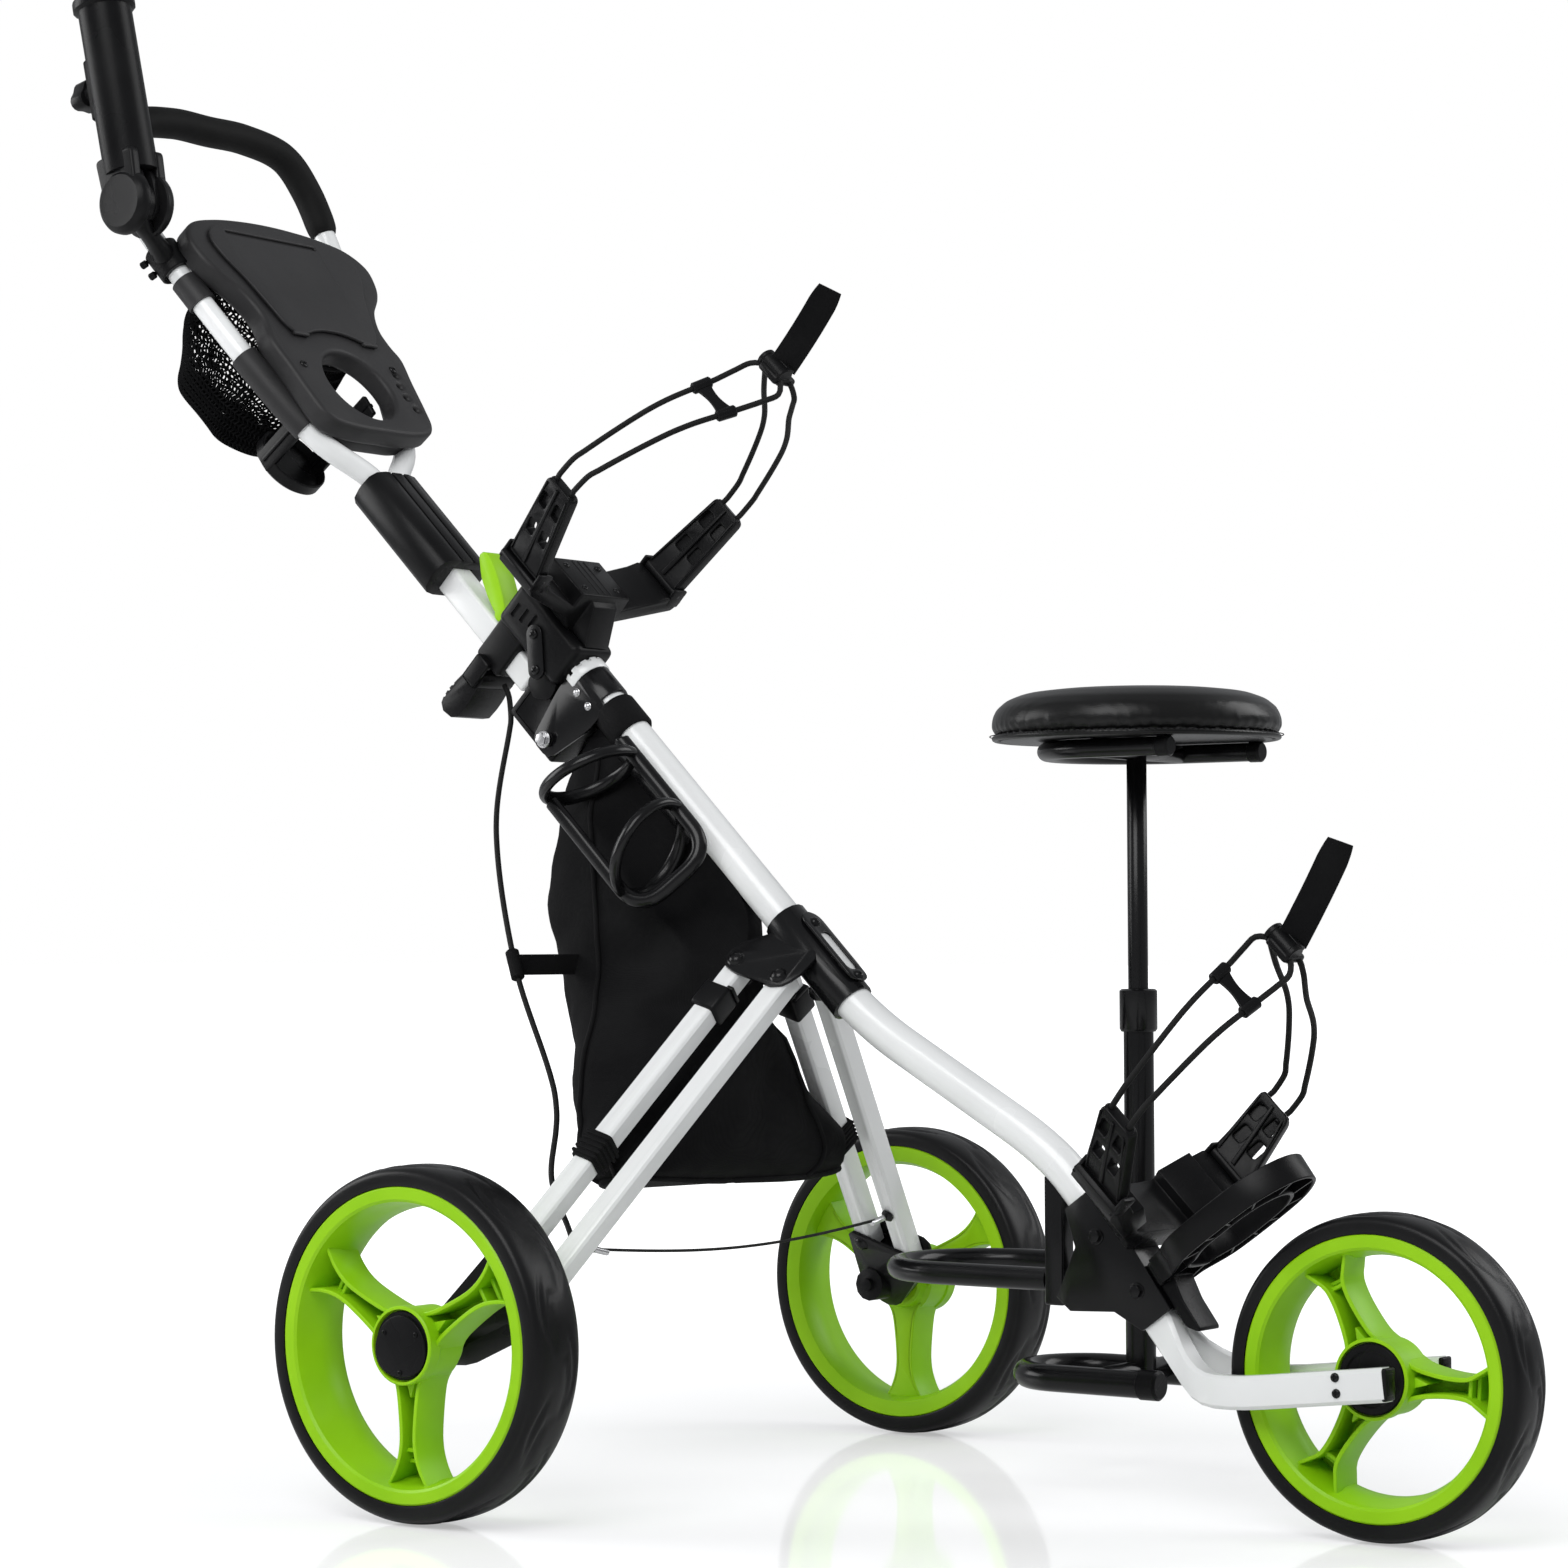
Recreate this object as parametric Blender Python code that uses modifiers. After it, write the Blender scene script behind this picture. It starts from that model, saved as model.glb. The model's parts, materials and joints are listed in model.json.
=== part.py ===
"""Golf push trolley with three wheels and a stool seat, built as separate pieces.

Metres, +Z up, +X forward. The right side is -Y. Heights are above the ground, and X is
measured from the rear axle until the whole model is centred over the origin at the end.
"""
import math

import bmesh
import bpy
from mathutils import Matrix, Vector

# Clearances
GAP = 0.0003
RUN = 0.0005

# Wheels
REAR_R = 0.142
REAR_TYRE_W = 0.056
REAR_TYRE_T = 0.0165
FRONT_R = 0.1255
FRONT_TYRE_W = 0.050
FRONT_TYRE_T = 0.0155
TRACK_FACE_Y = 0.372
WHEELBASE = 0.674
RIM_WALL = 0.012
RIM_FLANGE = 0.004
HUB_R = 0.030
HUB_W = 0.046
AXLE_R = 0.006
CAP_R = 0.029
CAP_T = 0.004
SPOKE_W = 0.034
SPOKE_WALL = 0.005
SPOKE_ROOT = 0.011
SPOKE_TIP = 0.021
SPOKES = 3
WHEEL_STEPS = 28

# Main tube, a straight run at 45 degrees and two bends
TUBE_R = 0.016
LINE_RISE = 0.584
LINE_TILT = 45.0
TUBE_TOP = -0.575
TUBE_BEND = (0.190, 0.394)
TUBE_KNEE = (WHEELBASE - 0.299, 0.288)
TUBE_END = (WHEELBASE - 0.256, 0.240)
TUBE_BEND_R = 0.045

# Fork
FORK_W = 0.0164
FORK_LAP = 0.0004
FORK_H = 0.026
FORK_TOP = (WHEELBASE - 0.246, 0.229)
FORK_FOOT = (WHEELBASE - 0.177, 0.134)
FORK_LOW = 0.1105
FORK_SPREAD = 0.047
FORK_NOSE = 0.026
GUSSET_WALL = 0.003
GUSSET_UP = 0.030
GUSSET_DOWN = 0.088

# Rear legs, front pivots; the rear pivots lie behind by PIVOT_STEP
LEG = 0.019
PIVOT_TOP = (0.126, 0.030, 0.4225)
PIVOT_FOOT = (0.053, 0.262, 0.176)
PIVOT_STEP = (0.0440, 0.0145)
LEG_OVER = 0.010
PIN_R = 0.004
PIN_HEAD_R = 0.0065
WING_T = 0.003
SADDLE_T = 0.0032
SADDLE_FROM = -0.262
SADDLE_TO = -0.163
AXLE_INNER_Y = 0.268

# Fold hinge, in the tube line's own frame (along the tube, across, above it)
FOLD_ALONG = -0.5515
FOLD_ABOVE = -0.0608
CHEEK_T = 0.003
BAND_FROM = -0.562
BAND_TO = -0.532
UPPER_ABOVE = -0.042
UPPER_SIZE = 0.026
UPPER_TOP = -0.790
UPPER_END = -0.607
SLEEVE_TO = -0.536
HOUSING_FROM = -0.668
HOUSING_W = 0.058
HOUSING_LOW = -0.065
HOUSING_TOP = 0.025
BRAKE_AT = -0.652
BRAKE_HALF = 0.022
BRAKE_BARREL = 0.0115
BRAKE_PIN = 0.003
RELEASE_R = 0.007
RELEASE_HALF = 0.012

# Handle
LOOP_R = 0.0105
GRIP_R = 0.0148
CONNECT_FROM = -0.868
CONNECT_TO = -0.745
CONNECT_W = 0.068
CONNECT_H = 0.042
GRIP_FROM = -1.165
LOOP_POINTS = ((-0.800, -0.040, 0.0165), (-0.869, -0.034, 0.0165), (-0.920, -0.030, 0.060),
               (-1.000, -0.018, 0.092), (-1.080, -0.007, 0.112), (-1.160, 0.004, 0.128),
               (-1.200, 0.014, 0.132), (-1.245, 0.034, 0.124), (-1.275, 0.050, 0.100),
               (-1.285, 0.055, 0.050), (-1.285, 0.055, 0.000))
HANDLE_FROM = (-0.920, -0.030)
HANDLE_TILT = 8.1

# Console, in the handle's own plane
TRAY_LOW = 0.0112
TRAY_H = 0.022
TRAY_WALL = 0.004
LID_T = 0.004
LID_FROM = -0.240
LID_TO = -0.100
LID_HALF_TOP = 0.098
LID_HALF_LOW = 0.064
CUP_X = -0.046
CUP_R = 0.041
TEE_R = 0.0028
TEE_COUNT = 4
NET_DEPTH = 0.075
NET_WIRE = 0.0028
CUP_DROP = 0.085
CUP_REST_R = 0.036

# Umbrella holder
UMBRELLA_Y = 0.174
UMBRELLA_R = 0.0250
UMBRELLA_BORE = 0.0212
UMBRELLA_L = 0.172
UMBRELLA_TILT = -12.9
KNUCKLE = (-0.497, 1.135)
KNUCKLE_R = 0.027
KNUCKLE_W = 0.016
KNOB_UP = 0.118
KNOB_R = 0.016
KNOB_PAD = 0.004
CLAMP_ALONG = -1.130
CLAMP_ABOVE = -0.0005
CLAMP_Y = 0.1225
CLAMP_SPLAY = -0.20
CLAMP_HALF = 0.015
CLAMP_WALL = 0.006

# Seat
SEAT_X = WHEELBASE - 0.308
SEAT_Y = 0.150
SEAT_R = 0.128
SEAT_LOW = 0.627
SEAT_H = 0.045
POST_R = 0.0085
POST_FOOT = 0.250
STAND_R = 0.0127
STAND_LOW = 0.098
STAND_TOP = 0.400
COLLAR_R = 0.016
COLLAR_H = 0.036
SEAT_RING_R = 0.076
SEAT_RING_TUBE = 0.0080
FOOT_Z = 0.092
FOOT_TUBE = 0.0115
FOOT_HALF = 0.050
FOOT_REAR = 0.055
FOOT_FRONT = 0.045
MOUNT_X = WHEELBASE - 0.294
MOUNT_SIZE = 0.018
MOUNT_LOW = 0.165
STAY_Z = 0.185
STAY_TUBE = 0.0095
STAY_REAR = 0.105

# Bag brackets, in the tube line's frame: hinge places are (across, above)
UPPER_CRADLE = -0.627
UPPER_HINGE = (0.095, 0.074)
UPPER_CLIP_L = 0.088
UPPER_LEAN = 15.0
LOWER_CRADLE = 0.150
LOWER_HINGE = (0.097, 0.122)
LOWER_CLIP_L = 0.063
LOWER_LEAN = 24.0
LOWER_SKEW = -0.016
LOWER_BACK = 0.136
CROWN_HALF = 0.033
CROWN_H = 0.0407
PAD_T = 0.010
CRADLE_W = 0.050
CLIP_W = 0.044
CLIP_T = 0.010
CLIP_PIN_R = 0.0055
REST_AT = 0.058
REST_DEPTH = 0.022
REST_HALF = 0.045
REST_WINDOW = 0.026
REST_TOP = 0.175

# Elastic loops; hooks are (along, above)
CORD_R = 0.0025
CORD_APART = 0.011
UPPER_HOOK = (-0.598, 0.327)
LOWER_HOOK = (0.0976, 0.324)
HOOK_L = 0.028
HOOK_BORE_Y = 0.0075
TAB_W = 0.022
TAB_L = 0.088
SLIDER_POINT = 11

# Bottle cage, beside the main tube: (across, above) of the bottle's axis
BOTTLE_AT = (-0.055, -0.030)
BOTTLE_R = 0.037
CAGE_WIRE = 0.0040
CAGE_FROM = -0.480
CAGE_TO = -0.385
CAGE_FOOT = 0.045

# Storage bag: (height, middle, half length, half width)
BAG_SECTIONS = ((0.255, 0.005, 0.050, 0.140), (0.280, 0.000, 0.060, 0.145), (0.350, -0.030, 0.080, 0.095),
                (0.440, -0.045, 0.080, 0.044), (0.500, -0.075, 0.070, 0.046), (0.580, -0.085, 0.045, 0.032),
                (0.640, -0.087, 0.022, 0.014))
STRAP_AT = -0.510

# Cables
CABLE_R = 0.0025
CABLE_FROM = (-0.634, -0.070)
TIE_R = 0.0013
TIE_UP = 0.060
TIE_SAG = 0.012
ARM_AT = (-0.008, -0.030)


def clear_scene():
    """Empties the scene that the script runs in."""
    for item in list(bpy.data.objects):
        bpy.data.objects.remove(item, do_unlink=True)


def collection(name):
    """A collection under the scene's own."""
    made = bpy.data.collections.new(name)
    bpy.context.scene.collection.children.link(made)
    return made


def finish(name, colour, roughness, metallic=0.0):
    """A Principled material for one kind of surface."""
    made = bpy.data.materials.new(name)
    made.use_nodes = True
    shader = made.node_tree.nodes["Principled BSDF"]
    shader.inputs["Base Color"].default_value = (*colour, 1.0)
    shader.inputs["Roughness"].default_value = roughness
    shader.inputs["Metallic"].default_value = metallic
    return made


clear_scene()
PARTS = collection("golf_push_trolley")
GUIDES = collection("cutters")
FINISHES = {
    "white_paint": finish("white_paint", (0.86, 0.87, 0.87), 0.30),
    "black_steel": finish("black_steel", (0.012, 0.012, 0.013), 0.22, 0.3),
    "black_plastic": finish("black_plastic", (0.018, 0.018, 0.019), 0.45),
    "charcoal_plastic": finish("charcoal_plastic", (0.040, 0.039, 0.041), 0.55),
    "foam": finish("foam", (0.012, 0.012, 0.012), 0.75),
    "vinyl": finish("vinyl", (0.010, 0.010, 0.010), 0.35),
    "green_plastic": finish("green_plastic", (0.230, 0.600, 0.008), 0.35),
    "tyre_foam": finish("tyre_foam", (0.014, 0.014, 0.015), 0.55),
    "nylon": finish("nylon", (0.010, 0.010, 0.011), 0.80),
    "elastic": finish("elastic", (0.012, 0.012, 0.012), 0.70),
}


def axis_empty(name, at, parent=None):
    """An empty on a joint's axis; what moves there hangs on it."""
    made = bpy.data.objects.new(name, None)
    made.empty_display_size = 0.02
    PARTS.objects.link(made)
    made.parent = parent
    made["at"] = tuple(at)
    made.location = Vector(at) - Vector(parent["at"] if parent else (0.0, 0.0, 0.0))
    return made


def settle(piece, frame, pivot):
    """Puts a piece, and the shapes that cut or join it, in a frame and hangs it on a pivot."""
    piece.parent = pivot
    piece.matrix_basis = Matrix.Translation(-Vector(pivot["at"])) @ frame @ piece.matrix_basis
    for modifier in piece.modifiers:
        if modifier.type == "BOOLEAN":
            settle(modifier.object, frame, pivot)


def keep(piece, name, look, pivot, frame=Matrix.Identity(4)):
    """Names a finished piece and places it."""
    piece.name = name
    piece.data.name = name
    piece.data.materials.clear()
    piece.data.materials.append(FINISHES[look])
    PARTS.objects.link(piece)
    settle(piece, frame, pivot)
    piece.data.shade_smooth()
    piece.data.set_sharp_from_angle(angle=math.radians(35.0))
    return piece


def guide(piece):
    """Files a shape that only cuts or joins another."""
    GUIDES.objects.link(piece)
    piece.hide_render = True
    piece.display_type = "WIRE"
    return piece


def combine(piece, operation, others):
    """Boolean modifiers, one for each other shape."""
    for other in others:
        modifier = piece.modifiers.new(operation.lower(), "BOOLEAN")
        modifier.operation = operation
        modifier.object = guide(other)
    return piece


def fuse(piece, *others):
    """Joins shapes into one solid."""
    return combine(piece, "UNION", others)


def cut(piece, *others):
    """Takes shapes out of a solid."""
    return combine(piece, "DIFFERENCE", others)


def from_bmesh(work):
    """A loose object from a bmesh."""
    mesh = bpy.data.meshes.new("solid")
    work.to_mesh(mesh)
    work.free()
    return bpy.data.objects.new("solid", mesh)


def block(low, high, bevel=0.0, segments=1):
    """A box between two corners, with its edges rounded."""
    low, high = Vector(low), Vector(high)
    work = bmesh.new()
    bmesh.ops.create_cube(work, size=1.0)
    bmesh.ops.scale(work, vec=high - low, verts=work.verts)
    if bevel:
        bmesh.ops.bevel(work, geom=work.edges[:], offset=bevel, segments=segments,
                        affect="EDGES", profile=0.5)
    bmesh.ops.translate(work, vec=(low + high) / 2.0, verts=work.verts)
    return from_bmesh(work)


def rod(start, end, radius, sides=16, tip=None):
    """A round bar, or a cone with another radius at its end."""
    start, end = Vector(start), Vector(end)
    work = bmesh.new()
    bmesh.ops.create_cone(work, cap_ends=True, segments=sides, radius1=radius,
                          radius2=radius if tip is None else tip, depth=(end - start).length)
    turn = (end - start).to_track_quat("Z", "Y").to_matrix().to_4x4()
    bmesh.ops.transform(work, matrix=Matrix.Translation((start + end) / 2.0) @ turn, verts=work.verts)
    return from_bmesh(work)


def to_mesh(curve_object):
    """The mesh of a curve, its caps welded."""
    GUIDES.objects.link(curve_object)
    graph = bpy.context.evaluated_depsgraph_get()
    mesh = bpy.data.meshes.new_from_object(curve_object.evaluated_get(graph))
    work = bmesh.new()
    work.from_mesh(mesh)
    bmesh.ops.remove_doubles(work, verts=work.verts, dist=0.00001)
    bmesh.ops.dissolve_degenerate(work, dist=0.00001, edges=work.edges)
    bmesh.ops.recalc_face_normals(work, faces=work.faces)
    made = from_bmesh(work)
    made.matrix_basis = curve_object.matrix_world
    bpy.data.objects.remove(curve_object, do_unlink=True)
    return made


def spline(data, points, closed):
    """One straight-edged spline."""
    run = data.splines.new("POLY")
    run.points.add(len(points) - 1)
    for slot, point in zip(run.points, points):
        slot.co = (*point, 1.0) if len(point) == 3 else (*point, 0.0, 1.0)
    run.use_cyclic_u = closed


def plate(outlines, low, high, placed=Matrix.Identity(4)):
    """A flat outline, with any holes, extruded from one height to another."""
    data = bpy.data.curves.new("outline", "CURVE")
    data.dimensions = "2D"
    data.fill_mode = "BOTH"
    data.extrude = (high - low) / 2.0
    for outline in outlines:
        spline(data, outline, True)
    made = to_mesh(bpy.data.objects.new("outline", data))
    made.data.transform(placed @ Matrix.Translation((0.0, 0.0, (low + high) / 2.0)))
    return made


def tube(points, radius, resolution=3):
    """A round bar along a path."""
    data = bpy.data.curves.new("path", "CURVE")
    data.dimensions = "3D"
    data.bevel_depth = radius
    data.bevel_resolution = resolution
    data.use_fill_caps = True
    spline(data, points, False)
    return to_mesh(bpy.data.objects.new("path", data))


def square_tube(points, width, height):
    """A rectangular bar along a path, its sides upright."""
    section = bpy.data.curves.new("section", "CURVE")
    section.dimensions = "2D"
    corners = [(-width / 2, -height / 2), (width / 2, -height / 2),
               (width / 2, height / 2), (-width / 2, height / 2)]
    spline(section, rounded(corners, 0.003, 1, True), True)
    profile = bpy.data.objects.new("section", section)
    GUIDES.objects.link(profile)
    data = bpy.data.curves.new("path", "CURVE")
    data.dimensions = "3D"
    data.twist_mode = "Z_UP"
    data.bevel_mode = "OBJECT"
    data.bevel_object = profile
    data.use_fill_caps = True
    spline(data, points, False)
    made = to_mesh(bpy.data.objects.new("path", data))
    bpy.data.objects.remove(profile, do_unlink=True)
    return made


def turned(profile, steps, closed=False):
    """A profile of (radius, height) pairs, outer side downwards, turned about Z."""
    mesh = bpy.data.meshes.new("profile")
    last = len(profile) if closed else len(profile) - 1
    edges = [(i, (i + 1) % len(profile)) for i in range(last)]
    mesh.from_pydata([(r, 0.0, z) for r, z in profile], edges, [])
    made = bpy.data.objects.new("profile", mesh)
    screw = made.modifiers.new("turn", "SCREW")
    screw.steps = steps
    screw.render_steps = steps
    screw.use_merge_vertices = True
    screw.merge_threshold = 0.00005
    return made


def rounded(points, radius, steps=4, closed=False):
    """A path with each corner replaced by a curve that starts radius before it."""
    points = [Vector(p) for p in points]
    count = len(points)
    path = []
    for i, corner in enumerate(points):
        if not closed and i in (0, count - 1):
            path.append(corner)
            continue
        back = points[i - 1] - corner
        ahead = points[(i + 1) % count] - corner
        start = corner + back.normalized() * min(radius, back.length * 0.45)
        stop = corner + ahead.normalized() * min(radius, ahead.length * 0.45)
        for k in range(steps + 1):
            f = k / steps
            path.append(start * (1 - f) ** 2 + corner * 2 * f * (1 - f) + stop * f ** 2)
    return path


def smooth(points, spacing):
    """Points about as far apart as spacing, read from a smooth curve through the given ones."""
    points = [Vector(p) for p in points]
    ends = [points[0] * 2 - points[1]] + points + [points[-1] * 2 - points[-2]]
    path = []
    for a, b, c, d in zip(ends, ends[1:], ends[2:], ends[3:]):
        count = max(1, round((c - b).length / spacing))
        for k in range(count):
            f = k / count
            path.append(0.5 * (b * 2 + (c - a) * f + (a * 2 - b * 5 + c * 4 - d) * f ** 2
                               + (b * 3 - a - c * 3 + d) * f ** 3))
    path.append(points[-1])
    return path


def loft(sections):
    """A closed skin through rings of equal point count."""
    work = bmesh.new()
    rings = []
    for section in sections:
        ring = [work.verts.new(p) for p in section]
        rings.append([work.edges.new((a, b)) for a, b in zip(ring, ring[1:] + ring[:1])])
    for lower, upper in zip(rings, rings[1:]):
        bmesh.ops.bridge_loops(work, edges=lower + upper)
    for ring in (rings[0], rings[-1]):
        bmesh.ops.contextual_create(work, geom=ring)
    bmesh.ops.recalc_face_normals(work, faces=work.faces)
    return from_bmesh(work)


def mirrored(points):
    """An outline given on its +Y half, from its start to its end on the middle line."""
    return points + [(x, -y) for x, y in reversed(points) if abs(y) > 1e-6]


# Frames: the tube line (along, across, above), the handle's plane and the fork's line
LINE = Matrix.Translation((LINE_RISE / 2.0, 0.0, LINE_RISE / 2.0)) @ Matrix.Rotation(
    math.radians(LINE_TILT), 4, "Y")
HANDLE = LINE @ Matrix.Translation((HANDLE_FROM[0], 0.0, HANDLE_FROM[1])) @ Matrix.Rotation(
    math.radians(HANDLE_TILT), 4, "Y")
FORK_DIP = math.atan2(FORK_TOP[1] - FORK_FOOT[1], FORK_FOOT[0] - FORK_TOP[0])
FORK = Matrix.Translation((FORK_TOP[0], 0.0, FORK_TOP[1])) @ Matrix.Rotation(FORK_DIP, 4, "Y")
# The lower bracket has a frame of its own, parallel to the tube line and placed from the fork
LOWER_LINE = Matrix.Translation((FORK_TOP[0] - LOWER_BACK, 0.0, LINE_RISE / 2.0)) @ Matrix.Rotation(
    math.radians(LINE_TILT), 4, "Y")
# Turns an outline's plane so that it stands on edge: its x along, its y upwards, extruded across
UPRIGHT = Matrix.Rotation(math.radians(90.0), 4, "X")
# Turns an outline's plane across a line: its x to +Y, its y upwards, extruded along the line
ACROSS = Matrix.Rotation(math.radians(90.0), 4, "Z") @ UPRIGHT
FRONT_AXLE = Vector((WHEELBASE, 0.0, FRONT_R))
SIDES = (("right", -1.0), ("left", 1.0))


def line_point(along, above, across=0.0):
    """World point of a place in the tube line's frame."""
    return LINE @ Vector((along, across, above))


# Joint axes
ROOT = axis_empty("trolley", (0.0, 0.0, 0.0))
FOLD = axis_empty("handle_fold_axis", line_point(FOLD_ALONG, FOLD_ABOVE), ROOT)
SEAT = axis_empty("seat_slide_axis", (SEAT_X, SEAT_Y, STAND_TOP), ROOT)
LID_HINGE_Z = TRAY_LOW + TRAY_H + GAP + LID_T / 2.0
LID = axis_empty("lid_hinge_axis", HANDLE @ Vector((LID_TO, 0.0, LID_HINGE_Z)), FOLD)
TILT = axis_empty("umbrella_tilt_axis", (KNUCKLE[0], -UMBRELLA_Y, KNUCKLE[1]), FOLD)
HOLDER = Matrix.Translation((KNUCKLE[0], -UMBRELLA_Y, KNUCKLE[1])) @ Matrix.Rotation(
    math.radians(UMBRELLA_TILT), 4, "Y")
KNOB = axis_empty("umbrella_knob_axis", HOLDER @ Vector((-UMBRELLA_R - KNOB_PAD, 0.0, KNOB_UP)), TILT)
BRAKE_PIVOT = (BRAKE_AT, HOUSING_LOW - GAP - BRAKE_BARREL)
BRAKE = axis_empty("brake_lever_axis", line_point(*BRAKE_PIVOT), FOLD)
RELEASE_PIVOT = (HOUSING_FROM - GAP - RELEASE_R, UPPER_ABOVE + UPPER_SIZE / 2.0 + GAP + RELEASE_R)
RELEASE = axis_empty("release_lever_axis", line_point(*RELEASE_PIVOT), FOLD)
FRONT = axis_empty("front_wheel_axis", FRONT_AXLE, ROOT)


def tube_path():
    """Centre line of the main tube."""
    corners = [line_point(TUBE_TOP, 0.0)]
    corners += [Vector((x, 0.0, z)) for x, z in (TUBE_BEND, TUBE_KNEE, TUBE_END)]
    return rounded(corners, TUBE_BEND_R, 5)


def build_main_tube():
    """White main tube."""
    keep(tube(tube_path(), TUBE_R, 4), "main_tube", "white_paint", ROOT)


def build_fork():
    """Fork arms side by side under the gusset, spreading to the wheel, with the axle across."""
    arms = []
    for side in (-1.0, 1.0):
        inner = side * (FORK_W / 2.0 - FORK_LAP)
        path = [(FORK_TOP[0], inner, FORK_TOP[1] + side * 0.0005), (FORK_FOOT[0], inner, FORK_FOOT[1]),
                (FORK_FOOT[0] + 0.038, side * FORK_SPREAD * 0.8, FORK_LOW),
                (FORK_FOOT[0] + 0.075, side * FORK_SPREAD, FORK_LOW),
                (WHEELBASE + FORK_NOSE, side * FORK_SPREAD, FRONT_R)]
        bends = rounded(path, 0.022, 3)
        straight = Vector(path[0]).lerp(Vector(path[1]), 0.78)
        arms.append(square_tube(bends[:1] + [straight] + bends[1:], FORK_W, FORK_H))
    axle = rod(FRONT_AXLE - Vector((0, FORK_SPREAD, 0)), FRONT_AXLE + Vector((0, FORK_SPREAD, 0)), AXLE_R)
    keep(fuse(arms[0], arms[1], axle), "front_fork", "white_paint", ROOT)


def build_gusset():
    """Folded channel over the fork's top, with a corner that meets the seat post."""
    inside = TUBE_R + GAP
    half = inside + GUSSET_WALL
    top = TUBE_R + GUSSET_WALL
    corner = FORK.inverted() @ Vector((MOUNT_X + MOUNT_SIZE / 2.0 + GAP, 0.0, MOUNT_LOW + 0.008))
    outline = [(-GUSSET_UP, top), (GUSSET_DOWN, top), (GUSSET_DOWN, -FORK_H / 2.0),
               (GUSSET_DOWN * 0.7, -FORK_H), (corner.x + 0.016, corner.z + 0.004),
               (corner.x, corner.z), (0.0, -FORK_H), (-GUSSET_UP, -TUBE_R)]
    channel = plate([outline], -half, half, UPRIGHT)
    inner = block((-0.2, -inside, -0.2), (0.2, inside, inside))
    keep(cut(channel, inner), "fork_gusset", "black_steel", ROOT, FORK)


def build_seat_carrier():
    """Square post under the main tube and the hairpin stay to the stool."""
    half = MOUNT_SIZE / 2.0
    post = block((MOUNT_X - half, -half, MOUNT_LOW), (MOUNT_X + half, half, TUBE_KNEE[1]), 0.0015)
    keep(cut(post, tube(tube_path(), TUBE_R + GAP, 4)), "seat_mount_post", "black_steel", ROOT)
    turn = SEAT_Y / 2.0
    centre = SEAT_X - STAY_REAR
    bend = [(centre - turn * math.sin(a), turn - turn * math.cos(a), STAY_Z)
            for a in [math.pi * k / 12 for k in range(13)]]
    path = [(MOUNT_X - half - GAP, 0.0, STAY_Z)] + bend + [(SEAT_X, SEAT_Y, STAY_Z)]
    stay = tube(path, STAY_TUBE, 2)
    stand = rod((SEAT_X, SEAT_Y, 0.0), (SEAT_X, SEAT_Y, STAND_TOP), STAND_R + GAP, 16)
    keep(cut(stay, stand), "seat_stay", "black_steel", ROOT)


def build_seat_stand():
    """Outer seat tube with its collar, cross bar and foot loop."""
    bore = POST_R + RUN
    profile = [(COLLAR_R, STAND_TOP + COLLAR_H / 2), (COLLAR_R, STAND_TOP - COLLAR_H / 2),
               (STAND_R, STAND_TOP - COLLAR_H / 2), (STAND_R, STAND_LOW), (bore, STAND_LOW),
               (bore, STAND_TOP + COLLAR_H / 2)]
    stand = turned(profile, 16, True)
    stand.matrix_basis = Matrix.Translation((SEAT_X, SEAT_Y, 0.0))
    bend = [(SEAT_X - FOOT_REAR - FOOT_HALF * math.sin(a), SEAT_Y - FOOT_HALF * math.cos(a), FOOT_Z)
            for a in [math.pi * k / 10 for k in range(11)]]
    front = SEAT_X + FOOT_FRONT
    loop = tube([(front, SEAT_Y - FOOT_HALF, FOOT_Z)] + bend + [(front, SEAT_Y + FOOT_HALF, FOOT_Z)],
                FOOT_TUBE, 2)
    cross = block((SEAT_X - COLLAR_R, SEAT_Y - FOOT_HALF, FOOT_Z - 0.004),
                  (SEAT_X + COLLAR_R, SEAT_Y + FOOT_HALF, STAND_LOW + 0.008))
    keep(fuse(stand, loop, cross), "seat_stand", "black_steel", ROOT)


def build_seat():
    """Sliding post with the loop that carries the pad, and the crowned pad."""
    ring_z = SEAT_LOW - GAP - SEAT_RING_TUBE
    bend = [(SEAT_X - SEAT_RING_R * math.sin(a), SEAT_Y - SEAT_RING_R * math.cos(a), ring_z)
            for a in [math.pi * k / 12 for k in range(13)]]
    front = SEAT_X + SEAT_RING_R
    ends = [(front, SEAT_Y - SEAT_RING_R, ring_z), (front, SEAT_Y + SEAT_RING_R, ring_z)]
    ring = tube([ends[0]] + bend + [ends[1]], SEAT_RING_TUBE, 2)
    cross = rod((SEAT_X, SEAT_Y - SEAT_RING_R, ring_z), (SEAT_X, SEAT_Y + SEAT_RING_R, ring_z),
                SEAT_RING_TUBE, 12)
    post = rod((SEAT_X, SEAT_Y, POST_FOOT), (SEAT_X, SEAT_Y, ring_z), POST_R, 16)
    keep(fuse(post, ring, cross), "seat_post", "black_steel", SEAT)
    r, h = SEAT_R, SEAT_H
    profile = [(0.0, h), (r * 0.45, h * 0.985), (r * 0.76, h * 0.88), (r * 0.92, h * 0.68),
               (r, h * 0.42), (r * 0.985, h * 0.20), (r * 0.93, h * 0.05), (r * 0.86, 0.0), (0.0, 0.0)]
    pad = turned(profile, 28)
    pad.matrix_basis = Matrix.Translation((SEAT_X, SEAT_Y, SEAT_LOW))
    keep(pad, "seat_pad", "vinyl", SEAT)


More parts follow.
